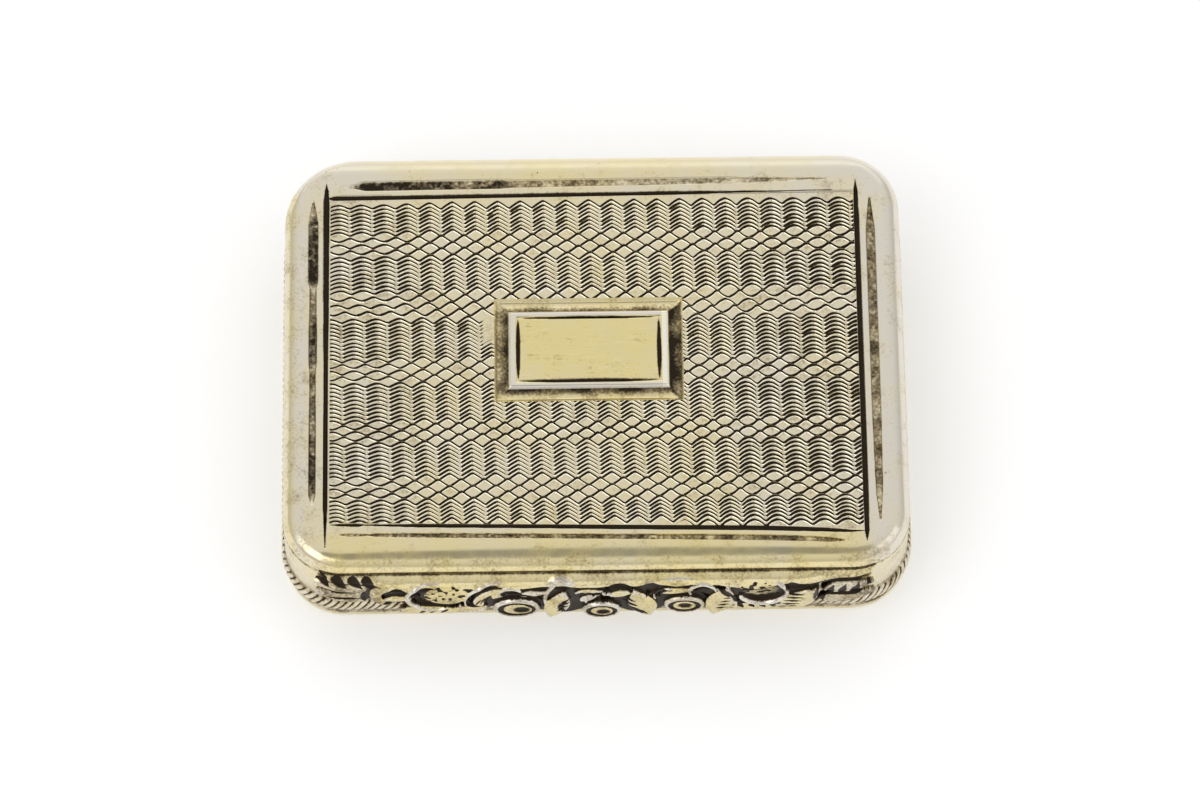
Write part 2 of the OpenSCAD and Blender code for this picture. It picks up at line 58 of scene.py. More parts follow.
def node_mm(name):
    """Lowest and highest corner of a node, in millimetres."""
    low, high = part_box(name)
    return np.array(low) / MM, np.array(high) / MM


# Main sizes, read from the frame
LID_LOW, LID_HIGH = node_mm("lid_cover")
BOX_W, BOX_D = (LID_HIGH - LID_LOW)[:2]
LID_Z, LID_TOP = LID_LOW[2], LID_HIGH[2]
BASE_H, BODY_H = node_mm("side_wall")[0][2], node_mm("side_wall")[1][2]
JOINTS = {joint["name"]: np.array(joint["pos_m"]) / MM for joint in frame["joints"]}
HINGE_Y, HINGE_Z = JOINTS["lid_hinge"][1:]
GRILLE_Y, GRILLE_Z = JOINTS["grille_hinge"][1:]

# Sizes of sheet and mouldings
CORNER_R = 3.4
WALL_T = 0.65
LID_T = 0.5
LID_EDGE_R = 0.95
BASE_T = 0.5
BASE_EDGE_R = 0.9
BACK_CORNERS_R = 4.2, 3.6
FRONT_HALF = BOX_W / 2 - CORNER_R
SIDE_HALF = BOX_D / 2 - CORNER_R

# Knuckles of the lid hinge, and the room cut for them
KNUCKLES = ["body_knuckle_left", "lid_knuckle_left", "body_knuckle_middle", "lid_knuckle_right",
            "body_knuckle_right"]
HINGE_LEN = 2 * (FRONT_HALF - 0.8)
KNUCKLE_PITCH = HINGE_LEN / len(KNUCKLES)
KNUCKLE_R = 0.48
KNUCKLE_BORE_R = 0.27
LID_PIN_R = 0.24
GRILLE_KNUCKLE_R = 0.36
GRILLE_BORE_R = 0.2
GRILLE_PIN_R = 0.17
SOLDERED_R = 0.5
TURNING_R = 0.58
LID_RELIEF_R = 0.478


def smooth(share):
    """Eases a share from 0 to 1."""
    share = np.clip(share, 0, 1)
    return share * share * (3 - 2 * share)


def tent(away, half):
    """Straight fall on both sides from 1 to 0 at a half width."""
    return np.clip(1 - np.abs(away) / half, 0, 1)


def bell(away, reach):
    """Soft fall on both sides from 1."""
    return np.exp(-((away / reach) ** 2))


def quarter_round(share):
    """Rise of a rounded edge, from 0 at its foot to 1."""
    return np.sqrt(1 - (1 - share) ** 2)


def cushion(share, power=4):
    """Fall of a flat-topped cushion from 1 in its middle to 0 at its edge."""
    return (1 - np.clip(share, 0, 1) ** power) ** 0.5


def arc(centre_n, centre_z, radius, start, end, steps):
    """Points of a section's arc between two angles in degrees."""
    angle = np.radians(np.linspace(start, end, steps + 1))
    return np.stack([centre_n + radius * np.cos(angle), centre_z + radius * np.sin(angle)], axis=1)


def run(*stops):
    """Points of a section's straight runs, without the last stop. The other stops also give their steps."""
    parts = []
    for (*start, steps), end in zip(stops, stops[1:]):
        share = np.linspace(0, 1, steps + 1)[:-1, None]
        parts.append(np.array(start) * (1 - share) + np.array(end[:2]) * share)
    return np.concatenate(parts)


def turned(x, y, angle):
    """Places seen from axes turned by an angle in degrees."""
    c, s = math.cos(math.radians(angle)), math.sin(math.radians(angle))
    return x * c + y * s, y * c - x * s


def blur(values, reach):
    """Mean of a grid's values over a square of the given reach, taken twice."""
    for axis in (0, 1, 0, 1):
        padded = np.pad(values, [(reach + 1, reach) if a == axis else (0, 0) for a in (0, 1)], mode="edge")
        total = np.cumsum(padded, axis=axis)
        size = 2 * reach + 1
        ahead = np.take(total, range(size, total.shape[axis]), axis=axis)
        behind = np.take(total, range(total.shape[axis] - size), axis=axis)
        values = (ahead - behind) / size
    return values


SPECKLE = RANDOM.normal(0, 1, (257, 257))


def speckle(x, y, size):
    """Smooth seeded noise over a plane, with features about size across."""
    i, fx = np.divmod(np.asarray(x) / size + 1000, 1)
    j, fy = np.divmod(np.asarray(y) / size + 1000, 1)
    i, j = i.astype(int) % 256, j.astype(int) % 256
    fx, fy = smooth(fx), smooth(fy)
    near = SPECKLE[i, j] * (1 - fx) + SPECKLE[i + 1, j] * fx
    return near * (1 - fy) + (SPECKLE[i, j + 1] * (1 - fx) + SPECKLE[i + 1, j + 1] * fx) * fy


# Meshes


def grid_faces(rows, columns, wrap_rows=False, wrap_columns=False):
    """Quads of a grid of vertices."""
    index = np.arange(rows * columns).reshape(rows, columns)
    if wrap_rows:
        index = np.vstack([index, index[:1]])
    if wrap_columns:
        index = np.hstack([index, index[:, :1]])
    return np.stack([index[:-1, :-1], index[1:, :-1], index[1:, 1:], index[:-1, 1:]], axis=-1).reshape(-1, 4)


def loop_faces(verts):
    """Quads of a grid of vertices that closes both ways."""
    return [grid_faces(*verts.shape[:2], True, True)]


def ring_faces(verts):
    """Quads of a grid of vertices whose rows close into a ring, with a flat cap over each end."""
    rows, columns = verts.shape[:2]
    index = np.arange(rows * columns).reshape(rows, columns)
    return [grid_faces(rows, columns, wrap_rows=True), index[None, ::-1, 0], index[None, :, -1]]


def volume(verts, faces):
    """Signed volume inside a closed mesh."""
    total = 0.0
    for group in faces:
        first = verts[group[:, 0]]
        for i in range(1, group.shape[1] - 1):
            total += np.sum(first * np.cross(verts[group[:, i]], verts[group[:, i + 1]]))
    return total / 6


def add_piece(name, verts, faces, body, node, finish, sharp=40, **attributes):
    """Makes a closed mesh from groups of faces, which rides on a body and stands for its node."""
    material, slot = finish
    verts = np.asarray(verts, float).reshape(-1, 3)
    faces = [np.asarray(group) for group in faces if len(group)]
    if volume(verts, faces) < 0:
        faces = [group[:, ::-1] for group in faces]
    counts = np.concatenate([np.full(len(group), group.shape[1]) for group in faces])
    corners = np.concatenate([group.ravel() for group in faces])
    mesh = bpy.data.meshes.new(name)
    mesh.vertices.add(len(verts))
    mesh.vertices.foreach_set("co", (verts * MM).astype(np.float32).ravel())
    mesh.loops.add(len(corners))
    mesh.loops.foreach_set("vertex_index", corners.astype(np.int32))
    mesh.polygons.add(len(counts))
    mesh.polygons.foreach_set("loop_start", (np.cumsum(counts) - counts).astype(np.int32))
    for key, values in attributes.items():
        layer = mesh.attributes.new(key, "FLOAT", "POINT")
        layer.data.foreach_set("value", np.broadcast_to(values, len(verts)).astype(np.float32))
    mesh.update(calc_edges=True)
    mesh.validate()
    mesh.shade_smooth()
    mesh.set_sharp_from_angle(angle=math.radians(sharp))
    mesh.materials.append(material)
    piece = bpy.data.objects.new(name, mesh)
    bpy.context.scene.collection.objects.link(piece)
    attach(piece, body)
    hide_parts(node)
    return piece


def side_axes(quarter):
    """Directions out of and along a side, counted anticlockwise from the right-hand one."""
    turn = math.radians(90 * quarter)
    out = np.array([math.cos(turn), math.sin(turn)])
    return out, np.array([-out[1], out[0]])


def plan_rays(step, corner_steps, breaks=()):
    """Points on the plan outline and their outward directions, anticlockwise from the right-hand side.
    Two rays stand close together at each break, a distance from the middle of the back."""
    points, outwards = [], []
    hair = 0.004
    for quarter in range(4):
        out, along = side_axes(quarter)
        across, half = (BOX_W / 2, SIDE_HALF) if quarter % 2 == 0 else (BOX_D / 2, FRONT_HALF)
        place = np.linspace(-half, half, round(2 * half / step), endpoint=False)
        if quarter == 1:
            close = [side * at + shift for at in breaks for side in (-1, 1) for shift in (-hair, hair)]
            place = np.sort(np.concatenate([place, close]))
        points.append(across * out + place[:, None] * along)
        outwards.append(np.tile(out, (len(place), 1)))
        angle = math.radians(90 * quarter) + np.linspace(0, math.pi / 2, corner_steps, endpoint=False)
        away = np.stack([np.cos(angle), np.sin(angle)], axis=1)
        points.append((across - CORNER_R) * out + half * along + CORNER_R * away)
        outwards.append(away)
    return np.concatenate(points), np.concatenate(outwards)


def drawn_in(points, outwards):
    """How far the outline is drawn in on every ray: the back corners are rounder than the front ones."""
    away = np.abs(outwards)
    radius = np.where(points[:, 0] < 0, *BACK_CORNERS_R)
    before = np.where(away[:, 0] > 0.999, SIDE_HALF - points[:, 1], FRONT_HALF - np.abs(points[:, 0]))
    before = np.where(away.max(axis=1) > 0.999, before, 0)
    extra = np.maximum(0, radius - CORNER_R - before)
    both = away.sum(axis=1)
    chord = np.sqrt(radius**2 + extra**2 * (both**2 - 2))
    return np.where(outwards[:, 1] > -1e-6, radius + extra * (both - 1) - chord, 0) * (points[:, 1] > 0)


def sweep(rays, n, z):
    """Grid of points round the plan, from the outward distance n and the height z of a section on every ray.
    What lies well inside the outline isn't drawn in with the corners."""
    points, outwards = rays
    shape = (len(points), np.shape(n)[-1])
    n, z = np.broadcast_to(n, shape), np.broadcast_to(z, shape)
    n = n - drawn_in(points, outwards)[:, None] * smooth((n + 1.05) / 0.95)
    flat = points[:, None] + outwards[:, None] * n[..., None]
    return np.concatenate([flat, z[..., None]], axis=2)


def knuckle_room(x, own):
    """Radius cut round the hinge axis at x: smaller where the knuckle is soldered to its own body."""
    index = np.floor((x + HINGE_LEN / 2) / KNUCKLE_PITCH)
    room = np.where(index % 2 == own, SOLDERED_R, TURNING_R)
    return np.where(np.abs(x) < HINGE_LEN / 2, room, 0)


def hinge_reach(y, radius):
    """Half height of the hinge's room at y."""
    return np.sqrt(np.maximum(0, radius**2 - (y - HINGE_Y) ** 2))


HINGE_BREAKS = KNUCKLE_PITCH * np.array([0.5, 1.5, 2.5])


def slab(top, bottom_z):
    """Closed slab under a grid of points, with a flat underside."""
    rows, columns = top.shape[:2]
    index = np.arange(rows * columns).reshape(rows, columns)
    rim = np.concatenate([index[0], index[1:, -1], index[-1, -2::-1], index[-2:0:-1, 0]])
    verts = top.reshape(-1, 3)
    foot = verts[rim].copy()
    foot[:, 2] = bottom_z
    low = len(verts) + np.arange(len(rim))
    sides = np.stack([low, rim, np.roll(rim, -1), np.roll(low, -1)], axis=1)
    return np.concatenate([verts, foot]), [grid_faces(rows, columns), sides, low[None]], rim


def cut_plate(u, v, inside, *fields):
    """Closed plate over the part of a grid where inside is positive.
    Returns the places of its upper points with the fields there, and its faces.
    The faces count on the lower points to follow in the same order."""
    mask = inside > 0
    grids = [*np.meshgrid(u, v, indexing="ij"), *fields]
    node = np.full(mask.shape, -1)
    node[mask] = np.arange(mask.sum())
    values = [grid[mask] for grid in grids]
    count = mask.sum()
    crossing = []
    for axis in (0, 1):
        here = tuple(slice(None, -1) if a == axis else slice(None) for a in (0, 1))
        there = tuple(slice(1, None) if a == axis else slice(None) for a in (0, 1))
        cut = mask[here] != mask[there]
        share = inside[here][cut] / (inside[here][cut] - inside[there][cut])
        index = np.full(cut.shape, -1)
        index[cut] = count + np.arange(cut.sum())
        count += cut.sum()
        for i, grid in enumerate(grids):
            values[i] = np.concatenate([values[i], grid[here][cut] * (1 - share) + grid[there][cut] * share])
        crossing.append(index)
    across, upward = crossing
    ring = [node[:-1, :-1], across[:, :-1], node[1:, :-1], upward[1:],
            node[1:, 1:], across[:, 1:], node[:-1, 1:], upward[:-1]]
    corner = [mask[:-1, :-1], mask[1:, :-1], mask[1:, 1:], mask[:-1, 1:]]
    code = sum(part.astype(int) << i for i, part in enumerate(corner))
    upper, walls = [], []
    for case in range(1, 16):
        kept = [bool(case >> i & 1) for i in range(4)]
        outline = []
        for i in range(4):
            if kept[i]:
                outline.append(2 * i)
            if kept[i] != kept[(i + 1) % 4]:
                outline.append(2 * i + 1)
        where = code == case
        if not where.any():
            continue
        polygon = np.stack([ring[i][where] for i in outline], axis=1)
        upper.append(polygon)
        for i, part in enumerate(outline):
            after = (i + 1) % len(outline)
            if part % 2 and outline[after] % 2:
                walls.append(polygon[:, [i, after]])
    walls = np.concatenate(walls)
    sides = np.concatenate([walls[:, ::-1], walls + count], axis=1)
    faces = upper + [polygon[:, ::-1] + count for polygon in upper] + [sides]
    return values, faces


def both_sides(x, y, upper, lower):
    """Points of a plate's upper side, then of its lower one."""
    return np.concatenate([np.stack([x, y, z], axis=1) for z in (upper, lower)])


def lathe_x(x, y, z, section, steps=40):
    """Section turned about an X axis: its points are distance along X and radius."""
    angle = np.linspace(0, 2 * math.pi, steps, endpoint=False)
    section = np.array(section, float)
    return np.stack([
        np.broadcast_to(x + section[:, 0], (steps, len(section))),
        y + np.cos(angle)[:, None] * section[:, 1],
        z + np.sin(angle)[:, None] * section[:, 1],
    ], axis=2)


# Materials

GOLD = (0.80, 0.68, 0.33, 1)
SILVER = (0.74, 0.69, 0.60, 1)
WARM_GOLD = (0.86, 0.66, 0.25, 1)
PATINA = (0.030, 0.022, 0.014, 1)
TARNISH = (0.20, 0.135, 0.065, 1)
# Pale colour of painted highlights
PAINTED_HIGHLIGHT = (0.95, 0.90, 0.74, 1)
SPONGE_LIGHT = (0.62, 0.45, 0.20, 1)
SPONGE_DARK = (0.30, 0.19, 0.07, 1)
SPONGE_STAIN = (0.36, 0.23, 0.09, 1)
# Colour of the painted shade in the sponge's pores
SPONGE_PORE_SHADE = (0.10, 0.055, 0.02, 1)
FLOOR_GREY = (0.82, 0.82, 0.82, 1)
WHITE = (1, 1, 1, 1)


class Nodes:
    """Short way to build the node tree of a material or a world."""

    def __init__(self, owner, shader="Principled BSDF"):
        owner.use_nodes = True
        self.owner = owner
        self.tree = owner.node_tree
        self.shader = self.tree.nodes[shader]

    def add(self, kind, inputs=None, **settings):
        node = self.tree.nodes.new("ShaderNode" + kind)
        for key, value in settings.items():
            setattr(node, key, value)
        for key, value in (inputs or {}).items():
            self.put(node.inputs[key], value)
        return node

    def put(self, socket, value):
        if isinstance(value, bpy.types.NodeSocket):
            self.tree.links.new(value, socket)
        else:
            socket.default_value = value

    def noise(self, size, detail=3.0, stretch=(1, 1, 1), seed=0.0):
        """Noise whose features are about size millimetres across."""
        place = self.add("TexCoord").outputs["Object"]
        mapping = self.add("Mapping", {"Vector": place, "Scale": stretch, "Location": (seed, seed, seed)})
        inputs = {"Vector": mapping.outputs[0], "Scale": 1 / (size * MM), "Detail": detail}
        return self.add("TexNoise", inputs).outputs["Fac"]

    def ramp(self, value, low, high, to_low=0.0, to_high=1.0):
        inputs = {"Value": value, "From Min": low, "From Max": high, "To Min": to_low, "To Max": to_high}
        return self.add("MapRange", inputs, interpolation_type="SMOOTHSTEP").outputs[0]

    def math(self, operation, a, b=0.0, clamp=False):
        return self.add("Math", {0: a, 1: b}, operation=operation, use_clamp=clamp).outputs[0]

    def weighted(self, a, of_a, b, of_b):
        """Sum of two values, each times its weight."""
        return self.math("ADD", self.math("MULTIPLY", a, of_a), self.math("MULTIPLY", b, of_b))

    def mix(self, share, a, b):
        return self.add("MixRGB", {"Fac": share, "Color1": a, "Color2": b}).outputs[0]

    def attribute(self, name):
        return self.add("Attribute", attribute_name=name).outputs["Fac"]

    def backdrop_rays(self):
        """1 for the rays that show the backdrop: straight to the camera, reflected or through glass."""
        path = self.add("LightPath")
        seen = path.outputs["Is Camera Ray"]
        for ray in ("Is Glossy Ray", "Is Transmission Ray"):
            seen = self.math("MAXIMUM", seen, path.outputs[ray])
        return seen


def metal(name, gilt, gold, roughness, grime, specked=0.8):
    """Silver with worn gilding: gilt is how much gold is left, grime how much the open surface is soiled.
    Patina above 0 soils the metal, and below 0 it is a painted highlight that turns it pale and bright."""
    n = Nodes(bpy.data.materials.new(name))
    patches = n.noise(4.0, 4, seed=3)
    cloud = n.noise(1.1, 5, seed=11)
    grain = n.noise(0.16, 4, seed=5)
    share = n.math("ADD", n.ramp(patches, 0.3, 0.7, gilt - 0.14, gilt + 0.14), n.attribute("gilt"))
    share = n.math("ADD", share, n.ramp(cloud, 0.3, 0.7, -0.08, 0.08), clamp=True)
    colour = n.mix(share, SILVER, gold)
    patina = n.attribute("patina")
    # Painted highlight where the patina is below 0
    colour = n.mix(n.ramp(n.math("MULTIPLY", patina, -1.0), 0.04, 0.4), colour, PAINTED_HIGHLIGHT)
    # Thin brownish tarnish in clouds, then the black left in the cuts
    colour = n.mix(n.ramp(cloud, 0.5, 0.85, 0, grime), colour, TARNISH)
    rough = n.weighted(grain, 0.5, cloud, 0.5)
    soil = n.math("ADD", patina, n.ramp(rough, 0.25, 0.75, -0.25, 0.25))
    black = n.ramp(soil, 0.22, 0.72)
    brown = n.ramp(soil, 0.02, 0.45, 0, 0.75)
    colour = n.mix(brown, colour, TARNISH)
    colour = n.mix(black, colour, PATINA)
    specks = n.math("MULTIPLY", n.ramp(n.noise(0.22, 2, seed=23), 0.70, 0.78), n.ramp(cloud, 0.45, 0.6))
    colour = n.mix(n.math("MULTIPLY", specks, specked), colour, PATINA)
    n.put(n.shader.inputs["Base Color"], colour)
    n.shader.inputs["Metallic"].default_value = 1.0
    surface = n.math("ADD", n.ramp(cloud, 0.3, 0.7, roughness - 0.05, roughness + 0.08),
                     n.math("MULTIPLY", brown, 0.3))
    n.put(n.shader.inputs["Roughness"], surface)
    # Fine rubbing marks in two directions over faint dents
    along = n.noise(0.09, 2, (0.05, 1, 1), 1)
    across = n.noise(0.09, 2, (1, 0.05, 1), 2)
    rubbed = n.weighted(along, 0.5, across, 0.5)
    height = n.weighted(rubbed, 0.25, n.noise(2.2, 2, seed=9), 1.2)
    bump = n.add("Bump", {"Height": height, "Strength": 0.35, "Distance": 0.02 * MM})
    n.put(n.shader.inputs["Normal"], bump.outputs[0])
    return n.owner


def sponge_material():
    n = Nodes(bpy.data.materials.new("sponge"))
    cells = n.noise(0.5, 5, seed=4)
    stain = n.noise(4.0, 3, seed=8)
    colour = n.mix(n.ramp(cells, 0.35, 0.65), SPONGE_DARK, SPONGE_LIGHT)
    colour = n.mix(n.ramp(stain, 0.45, 0.7, 0, 0.5), colour, SPONGE_STAIN)
    # Painted shade in the pores, darker where they are deeper
    colour = n.mix(n.attribute("patina"), colour, SPONGE_PORE_SHADE)
    n.put(n.shader.inputs["Base Color"], colour)
    n.shader.inputs["Roughness"].default_value = 0.95
    bump = n.add("Bump", {"Height": cells, "Strength": 0.8, "Distance": 0.12 * MM})
    n.put(n.shader.inputs["Normal"], bump.outputs[0])
    return n.owner


# Each finish is a material and its slot
OUTER = metal("silver_gilt", 0.48, GOLD, 0.19, 0.07), "silver_gilt"
PLAQUE = metal("plaque_gilt", 0.48, GOLD, 0.17, 0.02, 0.25), "silver_gilt"
WORN = metal("worn_silver", 0.45, GOLD, 0.28, 0.35), "worn_silver"
INNER = metal("inner_gilt", 0.95, WARM_GOLD, 0.2, 0.15), "inner_gilt"
SPONGE = sponge_material(), "sponge"


# Lid

PANEL_HALF_W = 15.22
PANEL_FRONT, PANEL_BACK = -10.77, 10.36
FRONT_SKEW, FRONT_BOW, BACK_SKEW = 0.0195, 0.0045, 0.006
PANEL_Z = LID_TOP - 0.06
PANEL_BED = LID_TOP - 0.32
CARTOUCHE_LOW, CARTOUCHE_HIGH = node_mm("cartouche_plaque")
CARTOUCHE_MID = (CARTOUCHE_LOW + CARTOUCHE_HIGH)[:2] / 2
CARTOUCHE_HALF = np.array([10.9, 6.6]) / 2
PLAQUE_HALF = (CARTOUCHE_HIGH - CARTOUCHE_LOW)[:2] / 2

HOLLOW_DEPTH = 0.12
LINE_DEPTH = 0.13
STEP_W = 0.13


def panel_front(x):
    """Front edge of the engine-turned panel, which runs a little out of square."""
    x = np.clip(x, -FRONT_HALF, FRONT_HALF)
    return PANEL_FRONT - FRONT_SKEW * x - FRONT_BOW * np.maximum(0, x - 8) ** 2


def panel_back(x):
    """Back edge of the panel."""
    return PANEL_BACK + BACK_SKEW * np.clip(x, -FRONT_HALF, FRONT_HALF)


# Along each side: how far the engraved line and the hollow lie from the panel, then half width of the line,
# half width of the hollow and soil of the hollow, as places and values
BORDER_SIDES = {
    "left": (0.23, 0.99,
             ([-12.6, -11.2, -9.5, 0, 4, 10.2, 10.9, 11.4], [0, 0.06, 0.13, 0.15, 0.19, 0.19, 0.12, 0]),
             ([-9.3, -8.8, -4.6, -1, -0.2, 1.9, 3.2, 4.6, 4.9, 8.8, 9.6, 10.4],
              [0, 0.22, 0.22, 0.2, 0.28, 0.28, 0.22, 0.22, 0.34, 0.34, 0.18, 0]),
             ([-9.2, -8.6, -5, -4.4, -1, -0.1, 1.9, 3.2, 4.6, 4.9, 8.8, 9.2, 10.4],
              [0.2, 0.55, 0.55, 0.36, 0.32, 0.55, 0.55, 0.32, 0.32, 0.58, 0.58, 0.35, 0.3])),
    "right": (0.16, 0.95,
              ([-12.1, -11.3, -9, 9, 10.5, 11.3], [0, 0.15, 0.18, 0.17, 0.13, 0]),
              ([-11, -9, -4, 8, 10.4], [0, 0.22, 0.31, 0.31, 0]),
              ([-11, -9, 0, 9, 10.8], [0.28, 0.4, 0.46, 0.46, 0.37])),
    "back": (0.13, 0.9,
             ([-15.4, -15, -13, -8, 5, 7.5, 10, 15.2], [0, 0.17, 0.17, 0.14, 0.13, 0.08, 0.04, 0]),
             ([-14.3, -13.2, -5.4, -4.5, 0, 8, 14.6], [0, 0.34, 0.34, 0.27, 0.25, 0.22, 0]),
             ([-14.3, -13.7, -13.2, -5.6, -4.6, 0, 2.5, 7, 14],
              [0.3, 0.45, 0.62, 0.6, 0.34, 0.3, 0.28, 0.25, 0.2])),
    "front": (0.13, 0.75,
              ([-15.3, -14.6, -13.5, -13.2, -12.6, -10, -2, 0, 8, 11.5, 14, 15.6],
               [0, 0.09, 0.11, 0.03, 0.06, 0.13, 0.15, 0.17, 0.2, 0.18, 0.12, 0]),
              ([-14.9, -14, -12.9, -12.5, -9, 0, 10, 13.2, 14.5],
               [0, 0.12, 0.04, 0.12, 0.16, 0.17, 0.2, 0.17, 0]),
              ([-15, -12, -4, 4, 8, 14.5], [0.35, 0.42, 0.45, 0.45, 0.42, 0.4])),
}


def lid_border(x, y):
    """Height and patina of the lid's flat border: a hollow and an engraved line along each side."""
    drop = np.zeros(x.shape)
    patina = np.zeros(x.shape)
    from_panel = np.full(x.shape, -99.0)
    places = {"left": (-x - PANEL_HALF_W, y), "right": (x - PANEL_HALF_W, y),
              "back": (y - panel_back(x), x), "front": (panel_front(x) - y, x)}
    for side, (line_at, hollow_at, line_half, hollow_half, hollow_soil) in BORDER_SIDES.items():
        away, along = places[side]
        from_panel = np.maximum(from_panel, away)
        line_w = np.interp(along, *line_half)
        cut = tent(away - line_at, line_w + 1e-4) * (line_w > 0.01)
        hollow_w = np.interp(along, *hollow_half)
        hollow = smooth(2.4 * (1 - np.abs(away - hollow_at) / (hollow_w + 1e-4)))
        hollow = hollow * smooth((hollow_w - 0.02) / 0.04)
        line_drop = LINE_DEPTH * np.sqrt(cut) * np.minimum(1, line_w / 0.1)
        drop = np.maximum(drop, np.maximum(HOLLOW_DEPTH * hollow, line_drop))
        # The soil is broken up, least of all along the right
        broken = (0.22 * speckle(x, y, 0.16) + 0.13 * speckle(x, y, 0.6)) * (0.6 if side == "right" else 1)
        soil = np.clip(np.interp(along, *hollow_soil) * (1 + broken), 0, 1) * hollow
        patina = np.maximum(patina, np.maximum(soil, 1.15 * np.minimum(1, 2.5 * cut)))
    step = (LID_TOP - PANEL_Z) * smooth(1 - from_panel / STEP_W)
    return LID_TOP - np.maximum(drop, step), patina


def edge_width(points, outwards):
    """Width of the lid's rounded edge on every ray: broad and low along the front, tighter at the corners."""
    side = smooth((np.abs(outwards).max(axis=1) - 0.9) / 0.1)
    front = np.clip(1 - (points[:, 0] / FRONT_HALF) ** 2, 0, 1) * (outwards[:, 1] < -0.999)
    return LID_EDGE_R + 0.15 * side + 0.35 * front


def build_lid():
    """Lid from the inside of its rim, over the rounded edge and the border, to the bed of the panel."""
    rays = plan_rays(0.15, 64, HINGE_BREAKS)
    points, outwards = rays
    inner_r = LID_EDGE_R - LID_T
    shoulder = LID_TOP - LID_EDGE_R
    lip = 0.07
    section = np.concatenate([
        arc(-LID_EDGE_R, shoulder, inner_r, 90, 0, 8),
        run((-LID_T, shoulder - 0.01, 1), (-LID_T, LID_Z + lip, 1), (-LID_T + lip, LID_Z, 8),
            (-lip, LID_Z, 1), (0, LID_Z + lip, 1), (0, shoulder)),
    ])
    turn = np.radians(np.linspace(0, 90, 33))
    width = edge_width(points, outwards)[:, None]
    away = np.abs(outwards) + 1e-9
    x = points[:, 0]
    to_end = np.where(points[:, 1] > 0, panel_back(x), -panel_front(x)) - SIDE_HALF
    inner = np.minimum((PANEL_HALF_W - FRONT_HALF) / away[:, 0], to_end / away[:, 1]) - CORNER_R
    border = -width + np.linspace(0, 1, 52)[1:] * (inner[:, None] + width)
    full = np.ones((len(points), 1))
    n = np.concatenate([section[:, 0] * full, width * (np.cos(turn) - 1), border, border[:, -1:]], axis=1)
    rounded = shoulder + LID_EDGE_R * np.sin(turn)
    z = np.concatenate([section[:, 1], rounded, np.full(border.shape[1], LID_TOP), [PANEL_BED]]) * full
    verts = sweep(rays, n, z)
    first = len(section) + len(turn)
    last = first + border.shape[1]
    patina = np.zeros(n.shape)
    flat = verts[:, first:last]
    flat[..., 2], patina[:, first:last] = lid_border(flat[..., 0], flat[..., 1])
    # Room for the knuckles along the back of the rim
    x, y = verts[:, :first, 0], verts[:, :first, 1]
    room = np.maximum(knuckle_room(x, 1), np.where(y > 0, LID_RELIEF_R, 0))
    floor = HINGE_Z + hinge_reach(y, room)
    cut = (hinge_reach(y, room) > 0) & (verts[:, :first, 2] < floor)
    verts[:, :first, 2] = np.where(cut, floor, verts[:, :first, 2])
    # The front and the middle of the back keep most of their gilding, the right-hand border has the least
    x, y = verts[..., 0], verts[..., 1]
    gilt = 0.4 * smooth((-y - 10.9) / 0.7) * smooth((16.6 - np.abs(x)) / 2)
    gilt += 0.25 * smooth((y - 10.9) / 0.4) * np.exp(-(((x + 1) / 8) ** 4))
    gilt -= 0.12 + 0.24 * smooth((x - 15.3) / 0.6) + 0.2 * smooth((y - 11) / 1) * smooth((np.abs(x) - 11) / 4)
    gilt += 0.3 * bell(x + 17.45, 0.22) - 0.2 * bell(x + 16.9, 0.25)
    # Brown tarnish in the right-hand hollow
    gilt += 0.5 * smooth(patina / 0.3) * smooth((x - 15.7) / 0.2)
    # Darker along the foot of the rim; a painted highlight along the back of the border; painted shade on the
    # rounded front and left edges and towards the front-right corner
    patina += 0.4 * smooth((LID_Z + 0.16 - verts[..., 2]) / 0.14) - 0.14 * smooth((y - 11.7) / 0.5)
    patina += 0.09 * smooth((-y - 12.2) / 0.4) + 0.05 * smooth((-x - 15.6) / 0.4)
    patina += 0.05 * smooth((x - 14.5) / 1.5) * smooth((-y - 10.5) / 1.5)
    add_piece("lid_cover_shell", verts, ring_faces(verts), "lid", "lid_cover", OUTER,
              patina=patina.ravel(), gilt=gilt.ravel())


# Engine turning: waved lines cut across the panel. In the bands they run together, and between the bands they
# cross into diamonds.

WAVE_PERIOD = 1.325
WAVE_PEAK = -14.86
FIRST_LINE = -10.43
# Lines of each band from the front, their pitch, and the pitch of the four steps of diamonds behind them
BANDS = [(6, 0.246, 0.3875), (9, 0.265, 0.3575), (10, 0.2644, 0.4), (11, 0.253, 0.475), (9, 0.2725, 0.405),
         (8, 0.256, 0)]
# Sideways drift of the waves from the front to the back of the panel, and slope of their lines
DRIFT = ([-10.4, -8.6, -5.4, -2.3, 2.4, 4.0, 7.5, 10], [0, -0.1, -0.2, -0.29, -0.35, 0.22, 0.12, 0.09])
SLOPE = ([-4, 2.5, 5], [0, 0.001, 0.004])
# How much broader than usual the lines are cut, from the front to the back of the panel
BROADER = ([-9.8, -6.6, -2.9, 1.1, 5.4, 9], [0.96, 0.98, 0.99, 0.97, 1.05, 1.01])
# From the panel's left to its right: half height of the waves, half width of the broad strokes, boldness of
# the falling strokes, rounding of the crests, and painted shade towards the ends
SWING = ([-12, -10.5, -8, 8, 10.5, 14], [0.10, 0.15, 0.20, 0.20, 0.15, 0.14])
BROAD_STROKE = ([-15, -13.5, -9, 3, 9, 14], [0.068, 0.087, 0.091, 0.091, 0.094, 0.098])
FALLING_STROKE = ([-13.5, -10.5, -6.5, -1, 4, 7.5, 11], [0.4, 0.24, 0.12, 0.15, 0.27, 0.5, 0.62])
ROUNDED = ([-15, -8, 3, 9], [0.12, 0.03, 0.03, 0.15])
SHADED_ENDS = ([-15, -12, -8, 3, 7, 10, 15], [1, 0.7, 0.1, 0, 0.3, 0.7, 0.8])
